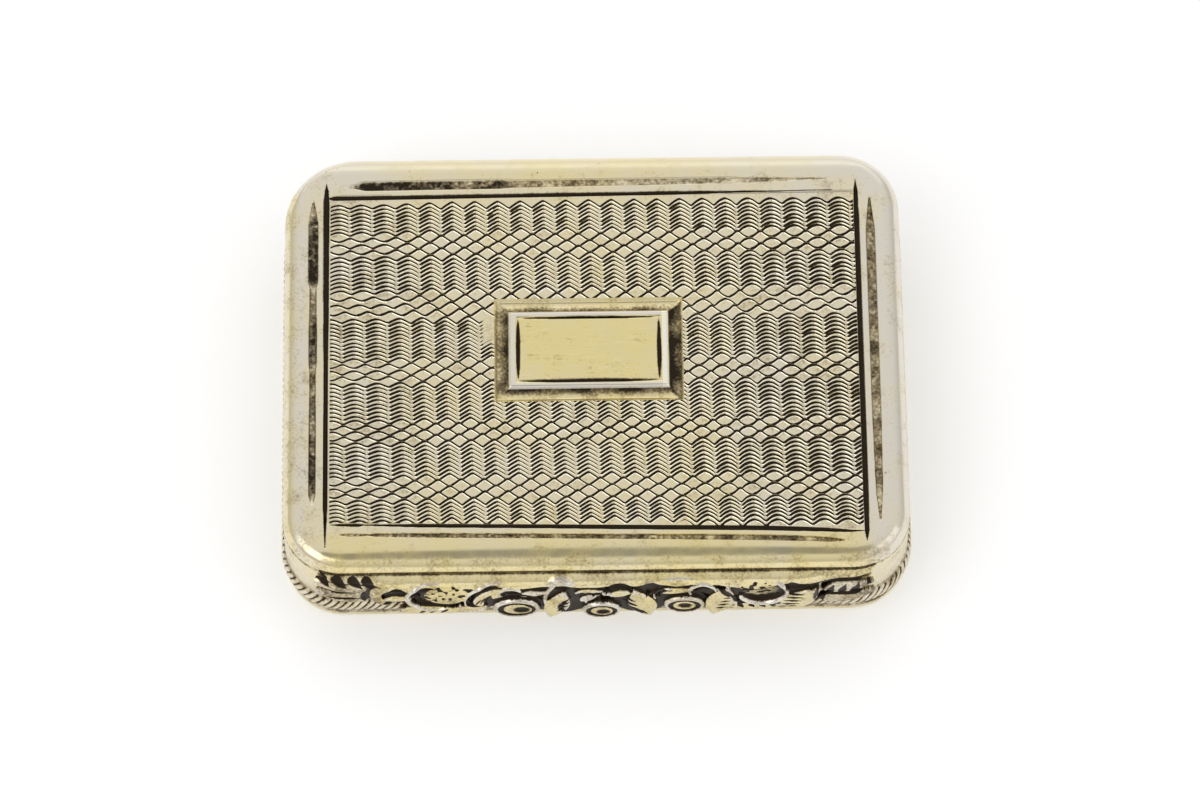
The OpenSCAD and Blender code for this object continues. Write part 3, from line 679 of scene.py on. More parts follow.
# Half width of the finest strokes, and what the boldest falling ones have more
FINE_STROKE, FALLING_MORE = 0.036, 0.052
# Section of a cut: places across it, depths there, both as shares of its half width, and shares of its soil,
# where below 0 is a painted highlight on the burr
CUT_SECTION = [(-1.9, 0, 0), (-1.25, -0.4, -0.5), (-0.72, 0.7, 1), (0.52, 0.7, 1), (1, 0, -0.1)]


def turned_lines():
    """Every waved line from the front: its middle, 1 or -1 as it runs with the first line or against it,
    whether it borders diamonds, and the place along the panel where it starts."""
    # A line that starts to the right of the middle comes before the first whole one
    lines = [(FIRST_LINE - 0.29, 1, True, 4.0)]
    place = FIRST_LINE
    for count, pitch, diamond in BANDS:
        for k in range(count):
            lines.append((place + k * pitch, 1, k in (0, count - 1), -99.0))
        place += (count - 1) * pitch
        for k, sign in enumerate((-1, 1, -1)):
            if diamond:
                lines.append((place + (k + 1) * diamond, sign, True, -99.0))
        place += 4 * diamond
    return lines


def wave(x):
    """Waved line from -1 to 1, straighter in the middle of the panel, and its share of a period."""
    share = ((x - WAVE_PEAK) / WAVE_PERIOD) % 1
    straight = np.interp(np.abs(x), [8, 12], [0.98, 0.8])
    zigzag = np.arcsin(straight * np.cos(2 * math.pi * share)) / np.arcsin(straight)
    # Rounder crests and sharper troughs towards the ends
    return zigzag - np.interp(x, *ROUNDED) * np.cos(4 * math.pi * share), share


def stroke(x, share, sign, bold):
    """Half width of the cut along a line: broad while the line climbs, fine while it falls, and nearly gone
    in the troughs unless the line is a bold one."""
    climb = 2 * ((share - (0.5 if sign > 0 else 0)) % 1)
    swell = smooth((climb - 0.03) / 0.16) * smooth((1.2 - climb) / 0.42)
    trough = bell((climb + 1.06) % 2 - 1, 0.1)
    broad, fall = np.interp(x, *BROAD_STROKE), np.interp(x, *FALLING_STROKE)
    fine = FINE_STROKE + FALLING_MORE * np.maximum(fall, 0.55 if bold else 0)
    return (fine + np.maximum(broad - fine, 0) * swell) * (1 if bold else 1 - 0.8 * trough)


def turned_slab(x0, x1, front, back, columns_per_wave, level, bed, facing):
    """Engine-turned slab between two sides, and its patina with painted highlights and shade, and its
    gilding. Facing is 1 for up, -1 for down.
    """
    x = np.linspace(x0, x1, max(2, round((x1 - x0) / WAVE_PERIOD * columns_per_wave)))
    edges = [edge(x) if callable(edge) else edge for edge in (front, back)]
    front, back = [np.broadcast_to(edge, x.shape) for edge in edges]
    swing = np.interp(x, *SWING)
    flat = np.zeros(x.shape)
    rows, heights, soil_and_highlight_rows = [front], [flat], [flat]
    earlier = None
    for middle, sign, bold, start in turned_lines():
        wander = RANDOM.normal(0, 0.006)
        wander = wander + 0.008 * np.sin(x * RANDOM.uniform(0.3, 0.9) + RANDOM.uniform(0, 6))
        curve, share = wave(x - np.interp(middle, *DRIFT))
        wander = wander + np.interp(middle, *SLOPE) * (x + 2)
        y = middle + wander + sign * swing * (1.1 if bold else 1) * curve
        if y.max() < front.min() or y.min() > back.max():
            continue
        shown = smooth((x - start) / 2)
        if facing > 0:
            # Bare patch worn beside the cartouche
            shown = shown * (1 - np.exp(-(((x + 6.05) / 0.42) ** 4) - ((middle - 1.75) / 1.0) ** 4))
        half = stroke(x, share, sign, bold) * shown * RANDOM.normal(1, 0.05) * np.interp(middle, *BROADER)
        soil = np.minimum(1.15, 0.45 + 8 * half) * shown
        if earlier is not None:
            # Ground half way between two cuts
            rows.append((earlier + y + CUT_SECTION[0][0] * half) / 2)
            heights.append(flat)
            soil_and_highlight_rows.append(flat)
        # Raised burr in front of the cut with a painted highlight, its two walls, and a fainter burr behind
        # it with a faint painted highlight
        for offset, sunk, dark in CUT_SECTION:
            rows.append(y + offset * half)
            heights.append(-sunk * half)
            soil_and_highlight_rows.append(dark * np.where(dark < 0, np.minimum(1, half / 0.06), soil))
        earlier = y + half
    rows.append(back)
    heights.append(flat)
    soil_and_highlight_rows.append(flat)
    y = np.array(rows)
    hair = 0.0004
    for i in range(1, len(y)):
        y[i] = np.maximum(y[i], y[i - 1] + hair)
    outside = (y <= front) | (y >= back)
    z = level + facing * np.where(outside, 0, np.array(heights))
    top = np.stack([np.broadcast_to(x, y.shape), np.clip(y, front, back), z], axis=2)
    verts, faces, rim = slab(top, bed)
    # Painted shade: towards both ends the ground is greyer and darker, with less gilt
    shade_at_ends = np.interp(verts[:, 0], *SHADED_ENDS)
    soil = np.where(outside, 0, np.array(soil_and_highlight_rows)).ravel()
    return verts, faces, np.concatenate([soil, soil[rim]]) + 0.03 + 0.1 * shade_at_ends, 0.02 - 0.16 * shade_at_ends


def build_panel():
    """Four engine-turned fields round the cartouche."""
    left, front = CARTOUCHE_MID - CARTOUCHE_HALF
    right, back = CARTOUCHE_MID + CARTOUCHE_HALF
    fields = {"left": (-PANEL_HALF_W, left, panel_front, panel_back),
              "right": (right, PANEL_HALF_W, panel_front, panel_back),
              "front": (left, right, panel_front, front), "back": (left, right, back, panel_back)}
    for name, field in fields.items():
        verts, faces, soil, gilt = turned_slab(*field, 24, PANEL_Z, PANEL_BED, 1)
        add_piece("lid_panel_" + name, verts, faces, "lid", "lid_cover", OUTER, 25, patina=soil, gilt=gilt)


# Cartouche

SURROUND_FLOOR = LID_TOP - 0.2
PLAQUE_TOP = CARTOUCHE_HIGH[2]
FIELD_SINK = 0.03


def build_surround():
    """Sunk frame round the plaque."""
    share = np.linspace(0, 1, 15)
    width = CARTOUCHE_HALF[0] - PLAQUE_HALF[0] + 0.1
    inset = np.concatenate([[0], share * width, [width, 0]])
    dip = np.sin(math.pi * np.clip(share * 1.15, 0, 1)) ** 0.6
    dished = SURROUND_FLOOR + 0.06 * share - 0.08 * dip
    dished += (1 - smooth(share / 0.25)) * (PANEL_Z - SURROUND_FLOOR)
    z = np.concatenate([[PANEL_BED], dished, [PANEL_BED - 0.02, PANEL_BED - 0.02]])
    # Soil of the right, back, left and front of the sunk surround, and how far it gathers against the plaque
    soiled = [(0.66, 0.2), (0.26, 0.8), (0.44, 0.3), (0.32, 0.8)]
    verts, soil = [], []
    per_side = 40
    for quarter, (amount, gather) in enumerate(soiled):
        out, side = side_axes(quarter)
        across, half = CARTOUCHE_HALF if quarter % 2 == 0 else CARTOUCHE_HALF[::-1]
        spread = amount * (1 - gather + 2 * gather * smooth((share - 0.3) / 0.6)) * smooth(share / 0.2)
        for step in range(per_side):
            t = 2 * step / per_side - 1
            flat = CARTOUCHE_MID + np.outer(across - inset, out) + np.outer(t * (half - inset), side)
            verts.append(np.column_stack([flat, z]))
            soil.append(np.concatenate([[0], spread * (1 + 0.2 * math.sin(9 * t + quarter)), [0.5, 0]]))
    verts = np.array(verts)
    add_piece("cartouche_surround", verts, loop_faces(verts), "lid", "lid_cover", OUTER,
              patina=np.concatenate(soil), gilt=0.35)


def build_plaque():
    """Vacant plaque: a bevelled bar, lens-shaped cuts along its inside, and a field sunk a little."""
    half_w, half_d = PLAQUE_HALF
    gx, gy = np.meshgrid(np.linspace(-half_w, half_w, 260), np.linspace(-half_d, half_d, 140), indexing="ij")
    bevel = 0.2
    cut = np.zeros(gx.shape)
    edge = np.minimum(half_w - np.abs(gx), half_d - np.abs(gy))
    # Right, left, back and front: width of the bar round the field, and half width of the cut inside it
    sides = [(half_w - gx, gy, half_d, 0.42, 0.17), (half_w + gx, gy, half_d, 0.42, 0.16),
             (half_d - gy, gx, half_w, 0.38, 0.1), (half_d + gy, gx, half_w, 0.32, 0.14)]
    field = np.full(gx.shape, 9.0)
    for inset, along, half, bar, widest in sides:
        field = np.minimum(field, inset - bar)
        length = half - 0.5
        lens = widest * np.sqrt(np.clip(1 - (along / length) ** 2, 0, 1)) + 1e-6
        depth = tent(inset - bar - widest, lens) * (np.abs(along) < length)
        cut = np.maximum(cut, depth * lens / widest)
    drop = 0.16 * (1 - np.sin(0.5 * math.pi * np.clip(edge / bevel, 0, 1)))
    drop += FIELD_SINK * smooth(field / 0.08) + 0.09 * cut
    top = np.stack([gx + CARTOUCHE_MID[0], gy + CARTOUCHE_MID[1], PLAQUE_TOP - drop], axis=2)
    verts, faces, rim = slab(top, PANEL_BED)
    soil = (1.15 * np.clip(1.6 * cut, 0, 1) + 0.25 * smooth((bevel * 0.4 - edge) / 0.06)).ravel()
    # Painted highlight on the bars, strongest on the right-hand one, and a slight one on the field
    soil -= np.where(field > 0.04, 0.04, np.where(gx > half_w - 0.42, 0.34, 0.13)).ravel()
    # Fine brush lines along the field
    soil += np.where(field > 0.1, 0.05 * speckle(gx / 12, gy, 0.07), 0).ravel()
    gilt = np.where(field > 0, 0.45, -0.45).ravel()
    add_piece("cartouche_plaque_face", verts, faces, "lid", "cartouche_plaque", PLAQUE, 30,
              patina=np.concatenate([soil, soil[rim]]), gilt=np.concatenate([gilt, gilt[rim]]))


# Thumbpiece: cast foliage in low relief, wrapped along the front. u runs along the front from its middle, and
# v is height.

THUMB_HALF = 16.1
THUMB_LOW, THUMB_TOP = 1.68, 6.7
THUMB_REACH = 0.94
THUMB_COLUMNS, THUMB_ROWS = 930, 146
BAND_LOW, BAND_TOP = 5.72, 6.28
# Lower edge of the moulding along u, where it runs out into the foliage
BAND_EDGE = ([-16, -12.4, -11.6, -10.4, -9.4, -8, -6.9, -5.6, -4.2, -3.2, -2.1, -1, 0, 1.2, 2.2, 2.9, 3.6,
              4.5, 5.6, 6.6, 7.6, 8.6, 9.4, 10.4, 11.2, 12.2, 13.4, 16],
             [5.72, 5.6, 5.2, 5.3, 5.5, 5.45, 5.25, 5.5, 5.25, 5.5, 5.55, 5.3, 5.3, 5.6, 5.4, 5.75, 5.6,
              5.3, 5.6, 5.5, 5.2, 4.9, 5.05, 5.5, 5.55, 5.4, 5.6, 5.72])
# Lobes of the back plate under the foliage: place, height and radius
BACK_PLATE = [(-11.2, 4.8, 1.1), (-9.0, 4.5, 1.6), (-6.4, 4.4, 1.6), (-4.6, 3.6, 1.5), (-2.1, 3.6, 1.7),
              (2.5, 3.5, 1.6), (4.9, 3.6, 1.5), (7.1, 3.7, 1.6), (9.4, 4.6, 1.55), (11.3, 4.2, 1.3)]
GILDED, BARE = 0.42, -0.42


class Relief:
    """Outline, height, soil and gilding of a cast relief, built up motif by motif on a grid."""

    def __init__(self, u, v):
        self.u, self.v = np.meshgrid(u, v, indexing="ij")
        # Sunk ground, and the plain moulding above it that curves in to the lid's edge
        thin = smooth((np.abs(self.u) - 11.5) / 2.5)
        end = smooth((np.abs(self.u) - 14.3) / 1.3)
        ground = 0.58 - 0.3 * thin - 0.14 * end
        share = np.clip((BAND_TOP - self.v) / (BAND_TOP - BAND_LOW), 0, 1)
        band = 0.06 + (0.5 - 0.26 * thin - 0.12 * end) * np.sin(0.5 * math.pi * share)
        past = self.v - np.interp(self.u, *BAND_EDGE)
        self.in_band = smooth(past / 0.14 + 0.5)
        self.ground = np.where(self.v > BAND_LOW, band, ground) + 0.05 * bell(past - 0.06, 0.1)
        below = BAND_TOP - self.v
        self.foot = np.minimum(np.minimum(15.9 - np.abs(self.u) - 0.8 * below, below), self.v - 5.2)
        self.height = self.ground.copy()
        self.soil = np.zeros(self.u.shape)
        self.gilt = np.full(self.u.shape, 0.3)

    def local(self, u, v, angle):
        """Grid places seen from a point, turned by an angle in degrees."""
        return turned(self.u - u, self.v - v, angle)

    def from_arc(self, u, v, radius, start, sweep_angle):
        """Distance from part of a circle, and the share of the way along it."""
        du, dv = self.u - u, self.v - v
        turn = (np.degrees(np.arctan2(dv, du)) - start) % 360
        past = np.where(turn > (sweep_angle + 360) / 2, 0, np.minimum(turn, sweep_angle))
        angle = np.radians(start + past)
        return np.hypot(du - radius * np.cos(angle), dv - radius * np.sin(angle)), past / sweep_angle

    def lay(self, foot, height, profile, gilt, proud=False):
        """Lays a motif over what is there. Unless it stands proud, it melts into the moulding."""
        melt = 0 if proud else 0.85 * smooth((self.v - 5.4) / 0.35)
        crown = self.ground + (height - self.ground) * profile * (1 - melt)
        over = (foot > 0) & (crown > self.height)
        self.height = np.where(over, crown, self.height)
        self.gilt = np.where(over, gilt, self.gilt)
        self.soil = np.where(over, 0, self.soil)
        self.foot = np.maximum(self.foot, foot)

    def disc(self, u, v, radius):
        """Plain lobe of the back plate."""
        self.foot = np.maximum(self.foot, radius - np.hypot(self.u - u, self.v - v))

    def leaf(self, u, v, angle, length, width, height, bend=0.0, gilt=GILDED):
        """Leaf from its stalk along an angle, bent sideways along its length."""
        a, b = self.local(u, v, angle)
        share = np.clip(a / length, 0, 1)
        b = b - bend * share**2 * length
        half = width / 2 * np.sin(math.pi * share**0.75)
        foot = np.minimum(np.minimum(half - np.abs(b), a + 0.05), length - a)
        self.lay(foot, height, cushion(np.abs(b) / np.maximum(half, 0.02)), gilt)

    def stem(self, u, v, radius, start, sweep_angle, width, height, taper=0.0, gilt=BARE):
        """Round scroll stem along part of a circle, getting thinner towards its ends."""
        away, share = self.from_arc(u, v, radius, start, sweep_angle)
        half = width / 2 * (1 - taper * np.abs(2 * share - 1))
        self.lay(half - away, height, cushion(away / half, 2), gilt)

    def dome(self, u, v, radius_u, radius_v, height, matted=0.0, gilt=GILDED, proud=False):
        """Cushion, pitted all over where it is matted."""
        share = np.hypot((self.u - u) / radius_u, (self.v - v) / radius_v)
        self.lay((1 - share) * min(radius_u, radius_v), height, cushion(share), gilt, proud)
        self.cut(matted * smooth((speckle(self.u, self.v, 0.2) - 0.35) / 0.5) * (share < 0.92), 0.06)

    def flower(self, u, v, radius, eye_u, eye_v, eye_r=0.26):
        """Flower head: flat disc with a bright rim, a dark ring, a gilt ring and a dark eye off centre."""
        du, dv = self.u - u, (self.v - v) / 0.8
        share = np.hypot(du, dv) / radius
        eye = np.hypot(du - eye_u, dv - eye_v) / radius
        petals = np.cos(9 * np.arctan2(dv, du))
        rim = bell(share - 0.88, 0.1)
        profile = cushion(share, 8) * (0.75 + 0.25 * rim)
        gilt = np.where(share < 0.7, GILDED, BARE)
        self.lay((1 + 0.03 * petals - share) * radius, THUMB_REACH, profile, gilt)
        self.cut(smooth(1.6 - np.abs(share - 0.66) / 0.095) * smooth((eye - 0.42) / 0.08), 0.08)
        self.cut(smooth(1.6 - eye / eye_r), 0.1)

    def cut(self, amount, depth):
        """Sinks and blackens the relief by a share from 0 to 1."""
        self.height = self.height - depth * amount
        self.soil = np.maximum(self.soil, amount)

    def dart(self, u0, v0, u1, v1, width, depth=0.1, blunt=False):
        """Lens-shaped cut from one point to another; a blunt one is broadest near where it starts."""
        length = math.hypot(u1 - u0, v1 - v0)
        a, b = self.local(u0, v0, math.degrees(math.atan2(v1 - v0, u1 - u0)))
        share = np.clip(a / length, 0, 1)
        half = 0.6 * width * np.sin(math.pi * share ** (0.5 if blunt else 1)) + 1e-6
        self.cut(np.sqrt(np.clip(1.3 * (1 - np.abs(b) / half), 0, 1) * ((a > 0) & (a < length))), depth)

    def crescent(self, u, v, radius, start, sweep_angle, width, depth=0.14):
        """Dark crescent cut along part of a circle."""
        away, share = self.from_arc(u, v, radius, start, sweep_angle)
        half = 0.56 * width * np.sin(math.pi * share) ** 0.7 + 1e-6
        self.cut(np.sqrt(np.clip(1.4 * (1 - away / half), 0, 1)), depth)


def front_place(u, v, n):
    """Point on the front of the box: u along the outline, height v and distance n out from it."""
    past = np.sign(u) * np.maximum(0, np.abs(u) - FRONT_HALF) / CORNER_R
    x = np.clip(u, -FRONT_HALF, FRONT_HALF) + (CORNER_R + n) * np.sin(past)
    y = -SIDE_HALF - (CORNER_R + n) * np.cos(past)
    return np.stack([x, y, v], axis=-1)


def lay_left_foliage(r):
    """Left end leaf, scroll leaf, C-scroll with its matted cushion, and the leaf up to the first flower."""
    r.leaf(-12.2, 5.2, 177, 4.2, 1.9, 0.46, 0.0, 0.0)
    r.leaf(-12.6, 3.95, 178, 3.7, 1.6, 0.45, 0.0, -0.05)
    for k, u in enumerate((-15.9, -15.0, -14.1, -13.3)):
        r.dart(u, 6.15, u + 0.75, 5.3 - 0.1 * k, 0.55, 0.08, True)
    r.dart(-16.2, 4.7, -13.7, 4.6, 0.24, 0.08)
    r.dart(-15.5, 3.95, -13.5, 3.85, 0.26, 0.08)
    r.dart(-13.35, 4.8, -13.0, 3.2, 0.6, 0.12)
    r.stem(-11.6, 4.55, 1.05, 50, 190, 0.85, 0.76, 0.25, GILDED)
    r.leaf(-12.2, 4.15, 6, 2.1, 0.75, 0.74)
    r.crescent(-11.45, 4.8, 0.5, 5, 160, 0.5)
    r.dart(-12.4, 3.7, -10.9, 3.85, 0.36, 0.12)
    r.leaf(-11.3, 2.75, -2, 3.7, 1.2, 0.72)
    for k in range(4):
        r.dart(-10.2 + 0.6 * k, 2.3, -9.7 + 0.6 * k, 2.85, 0.2, 0.06)
    r.dome(-8.6, 4.6, 1.35, 1.2, 0.78, 0.9)
    r.stem(-9.35, 4.38, 1.5, 80, 215, 0.4, 0.86, 0.6)
    r.crescent(-9.3, 4.42, 1.08, 95, 170, 0.5)
    r.stem(-5.41, 3.75, 1.4, 95, 100, 0.85, 0.78, 0.2, GILDED)
    r.stem(-5.41, 3.75, 2.15, 95, 98, 0.24, 0.82, 0.3)
    r.crescent(-5.41, 3.75, 1.84, 95, 98, 0.42)
    for k in range(3):
        r.dart(-7.0 + 0.3 * k, 3.4 + 0.1 * k, -6.6 + 0.22 * k, 4.2 + 0.2 * k, 0.12, 0.06)
    r.leaf(-8.4, 2.6, 8, 2.2, 0.8, 0.74, 0.1)
    r.stem(-7.1, 3.3, 0.75, 185, 165, 0.26, 0.8, 0.3)
    r.dart(-7.6, 3.25, -6.5, 3.2, 0.3)


def lay_middle_foliage(r):
    """First and middle flowers, the hooks over them, the gold leaf and the bud that rises to the lid."""
    r.leaf(-6.0, 4.2, 55, 2.0, 0.9, 0.74, -0.1)
    r.stem(-5.0, 4.75, 0.7, 30, 170, 0.3, 0.8, 0.4)
    r.crescent(-5.0, 4.65, 0.36, 10, 210, 0.42)
    r.leaf(-4.5, 4.6, 6, 1.8, 0.75, 0.76, 0.12, BARE)
    r.dart(-4.4, 4.2, -2.9, 4.4, 0.34, 0.1)
    r.flower(-4.62, 2.97, 1.38, 0.28, -0.1)
    r.crescent(-4.62, 3.05, 1.62, 20, 100, 0.24)
    r.stem(0.3, 3.95, 3.3, 142, 45, 0.34, 0.82, 0.2)
    r.leaf(-2.75, 1.8, 70, 3.5, 1.55, 0.84, 0.08)
    for k in range(4):
        r.dart(-2.35 + 0.1 * k, 2.6 + 0.42 * k, -1.7 + 0.08 * k, 2.85 + 0.42 * k, 0.2, 0.07)
    r.crescent(-1.0, 3.1, 1.1, 120, 110, 0.34)
    r.dome(-2.1, 5.7, 0.8, 0.5, 0.62, 0, BARE, True)
    r.dart(-2.5, 5.35, -1.5, 5.3, 0.42, 0.12)
    r.leaf(-1.3, 4.75, 8, 1.7, 0.8, 0.74)
    r.leaf(-1.0, 3.75, 35, 1.3, 0.7, 0.76, 0.0, BARE)
    r.stem(0.4, 3.6, 1.05, 60, 120, 0.3, 0.8, 0.3)
    for k in range(3):
        r.crescent(-0.9 + 0.45 * k, 4.45, 0.26, 0, 180, 0.3)
    r.flower(0.25, 2.6, 1.15, 0.1, -0.14)
    r.leaf(0.7, 4.35, 22, 1.6, 0.8, 0.76)
    r.crescent(1.25, 4.75, 0.72, -9, 195, 0.5)
    r.leaf(3.05, 1.85, 112, 3.5, 1.7, 0.84, -0.1)
    for k in range(3):
        r.dart(1.25 + 0.16 * k, 4.3 - 0.55 * k, 2.2 + 0.16 * k, 3.75 - 0.6 * k, 0.28, 0.08)
    r.dart(1.75, 2.9, 2.9, 2.15, 0.4, 0.1)
    r.dart(3.3, 5.75, 2.8, 4.2, 0.7, 0.14, True)


def lay_right_foliage(r):
    """Third flower under its ridge, gold leaf, U-scroll with a matted hollow, feather leaf and end frond."""
    r.stem(4.6, 3.5, 2.45, 50, 76, 0.24, 0.5)
    r.leaf(3.5, 4.75, 8, 2.2, 0.8, 0.74)
    r.stem(6.0, 4.85, 0.75, 5, 200, 0.3, 0.8, 0.3)
    r.crescent(6.0, 4.8, 0.4, 5, 200, 0.46)
    r.stem(4.3, 4.2, 1.02, 95, 95, 0.32, 0.8, 0.4)
    r.crescent(4.0, 4.45, 0.58, 60, 170, 0.42)
    r.flower(4.98, 3.2, 1.2, 0.02, 0.0)
    r.crescent(4.98, 3.25, 1.52, -48, 100, 0.32)
    r.leaf(6.6, 1.95, 72, 3.6, 1.8, 0.84, 0.06)
    for k in range(4):
        r.dart(6.75 + 0.14 * k, 2.8 + 0.42 * k, 7.4 + 0.14 * k, 2.9 + 0.42 * k, 0.18, 0.06)
    r.leaf(8.0, 3.0, 118, 2.6, 0.7, 0.78, 0.0, BARE)
    r.dart(6.85, 5.5, 7.8, 4.0, 0.42)
    r.dart(7.7, 4.3, 8.15, 3.2, 0.3)
    r.dome(9.35, 4.95, 1.3, 0.9, 0.68, 0.8)
    r.stem(9.45, 4.6, 1.38, -155, 205, 0.34, 0.86, 0.15)
    r.crescent(9.4, 4.65, 0.98, -160, 150, 0.46)
    r.leaf(7.6, 2.7, 2, 3.2, 0.9, 0.72)
    for k in range(4):
        r.dart(8.1 + 0.62 * k, 3.0, 8.4 + 0.62 * k, 2.55, 0.3, 0.08, True)
    r.leaf(10.5, 2.9, 40, 2.5, 1.5, 0.76, 0.15)
    r.leaf(11.5, 2.5, 68, 2.7, 1.3, 0.74, -0.05)
    r.dart(10.75, 5.35, 12.1, 5.0, 0.7, 0.12, True)
    for k in range(4):
        r.dart(10.5 + 0.12 * k, 3.1 + 0.4 * k, 11.6 + 0.1 * k, 3.0 + 0.42 * k, 0.22, 0.08)
    r.leaf(12.6, 3.1, 6, 3.3, 1.4, 0.5, 0.05, 0.1)
    r.leaf(12.8, 4.4, 8, 3.0, 1.5, 0.49, 0.0, -0.1)
    r.dart(12.55, 5.0, 12.8, 2.7, 0.6, 0.12)
    r.dart(13.0, 3.75, 15.5, 3.95, 0.34, 0.08)
    for k, u in enumerate((13.2, 13.9, 14.6, 15.2)):
        r.dart(u, 3.85 + 0.08 * k, u + 0.3, 5.0 + 0.08 * k, 0.42, 0.08, True)


def build_thumbpiece():
    end = FRONT_HALF + CORNER_R * math.asin((THUMB_HALF - FRONT_HALF) / (CORNER_R + 0.3))
    u = np.linspace(-end, end, THUMB_COLUMNS)
    v = np.linspace(THUMB_LOW, THUMB_TOP, THUMB_ROWS)
    r = Relief(u, v)
    for lobe in BACK_PLATE:
        r.disc(*lobe)
    # Strip that joins the lobes of the back plate
    r.foot = np.maximum(r.foot, np.minimum(12.6 - np.abs(r.u), np.minimum(5.6 - r.v, r.v - 4.4)))
    lay_left_foliage(r)
    lay_middle_foliage(r)
    lay_right_foliage(r)
    # Soft casting: the motifs are blunted a little, and their ridges have lost their gilding
    height = np.minimum(0.6 * r.height + 0.4 * blur(r.height, 1), THUMB_REACH)
    cavity = blur(height, 10) - height
    ridge = smooth((height - blur(height, 4) - 0.022) / 0.035)
    gilt = r.gilt * (1 - ridge) + BARE * ridge
    edge = np.clip(r.foot / 0.1, 0, 1)
    # The back follows the lid's rounded edge, and stands clear of the wall below it
    rise = np.clip((r.v - LID_TOP + LID_EDGE_R) / LID_EDGE_R, 0, 1)
    lid_face = 1.4 * (np.sqrt(1 - rise**2) - 1)
    bottom = np.where(r.v < LID_Z - 0.02, 0.08 + 0.26 * smooth((3.4 - r.v) / 0.3), lid_face + 0.02)
    outer = np.maximum(height - 0.08 * (1 - quarter_round(edge)), bottom + 0.04)
    # Soil in cavities, broken up on the low ground, and in the cuts, and a painted shadow in the seam along
    # the lid's edge
    broken = 1 - 0.45 * smooth((speckle(r.u, 0.6 * r.v, 0.22) - 0.5) / 0.6)
    low = smooth((r.ground + 0.12 - height) / 0.08) * (1 - r.in_band)
    seam_shadow = 0.52 * smooth((r.v - 6.19) / 0.07) * (height < 0.4) - 0.02 * r.in_band
    soil = smooth((cavity - 0.01) / 0.07) * (1 - r.in_band) + 0.95 * low * broken + r.soil + seam_shadow
    soil += 0.14 + 0.1 * smooth((np.abs(r.u) - 12) / 1)
    soil = np.where(r.foot > 0, soil, 0.6)
    (u, v, *sides, soil, gilt), faces = cut_plate(u, v, r.foot, outer, bottom, soil, gilt)
    verts = np.concatenate([front_place(u, v, n) for n in sides])
    add_piece("thumbpiece_relief", verts, faces, "lid", "thumbpiece", OUTER, 50,
              patina=np.concatenate([soil, np.full(len(soil), 0.3)]), gilt=np.tile(gilt, 2))


# Box

BASE_FIELD_INSET = 2.3
BASE_FIELD_BED = 0.2
BASE_FIELD_Z = 0.06
ROPE_LOW = BASE_H + 0.55
ROPE_H = 1.2
ROPE_OUT = 0.26
ROPE_PITCH = 0.43
ROPE_SLANT = 0.6
ROPE_CUT = 0.13


def build_wall():
    """Wall with the roped moulding near its foot."""
    outline = 4 * (FRONT_HALF + SIDE_HALF) + 2 * math.pi * CORNER_R
    rays = plan_rays(0.05, 107, HINGE_BREAKS)
    points = rays[0]
    lip = 0.06
    rope = ROPE_LOW + ROPE_H * np.linspace(0, 1, 15)
    section = np.concatenate([
        run((-WALL_T, BODY_H, 4), (-WALL_T, BASE_H, 1), (0, BASE_H, 1), (0, ROPE_LOW - 0.03)),
        np.stack([np.zeros(len(rope)), rope], axis=1),
        run((0, ROPE_LOW + ROPE_H + 0.03, 1), (0, HINGE_Z - 0.6, 4), (0, BODY_H - lip, 1),
            (-lip, BODY_H, 8), (-WALL_T, BODY_H)),
    ])
    n = np.tile(section[:, 0], (len(points), 1))
    z = np.tile(section[:, 1], (len(points), 1))
    step = np.linalg.norm(np.diff(points, axis=0, append=points[:1]), axis=1)
    along = np.concatenate([[0], np.cumsum(step)[:-1]]) * outline / step.sum()
    roped = (z >= ROPE_LOW - 1e-6) & (z <= ROPE_LOW + ROPE_H + 1e-6) & (n > -1e-6)
    share = (z - ROPE_LOW) / ROPE_H
    flutes = round(outline / ROPE_PITCH)
    phase = along[:, None] / outline * flutes - (z - ROPE_LOW) * ROPE_SLANT / ROPE_PITCH
    groove = 1 - np.abs(np.sin(math.pi * phase)) ** 0.7
    swell = np.sqrt(np.clip(1 - (2 * share - 1) ** 2, 0, 1))
    n = np.where(roped, ROPE_OUT * swell - ROPE_CUT * groove * swell, n)
    verts = sweep(rays, n, z)
    # Cradle for the knuckles along the back
    x, y = verts[..., 0], verts[..., 1]
    room = knuckle_room(x, 0)
    reach = hinge_reach(y, room)
    floor = HINGE_Z - reach
    cut = (y > 0) & (room > 0) & (reach > 0) & (verts[..., 2] > floor)
    verts[..., 2] = np.where(cut, floor, verts[..., 2])
    patina = np.where(roped, 1.2 * groove**1.5 * swell**0.3 + 0.35 * (1 - swell), 0)
    patina += 0.35 * (np.abs(section[:, 1] - BASE_H) < 0.15) + 0.3 * smooth((z - BODY_H + 0.3) / 0.3)
    add_piece("side_wall_roped", verts, loop_faces(verts), "box", "side_wall", WORN, 50,
              patina=patina.ravel())


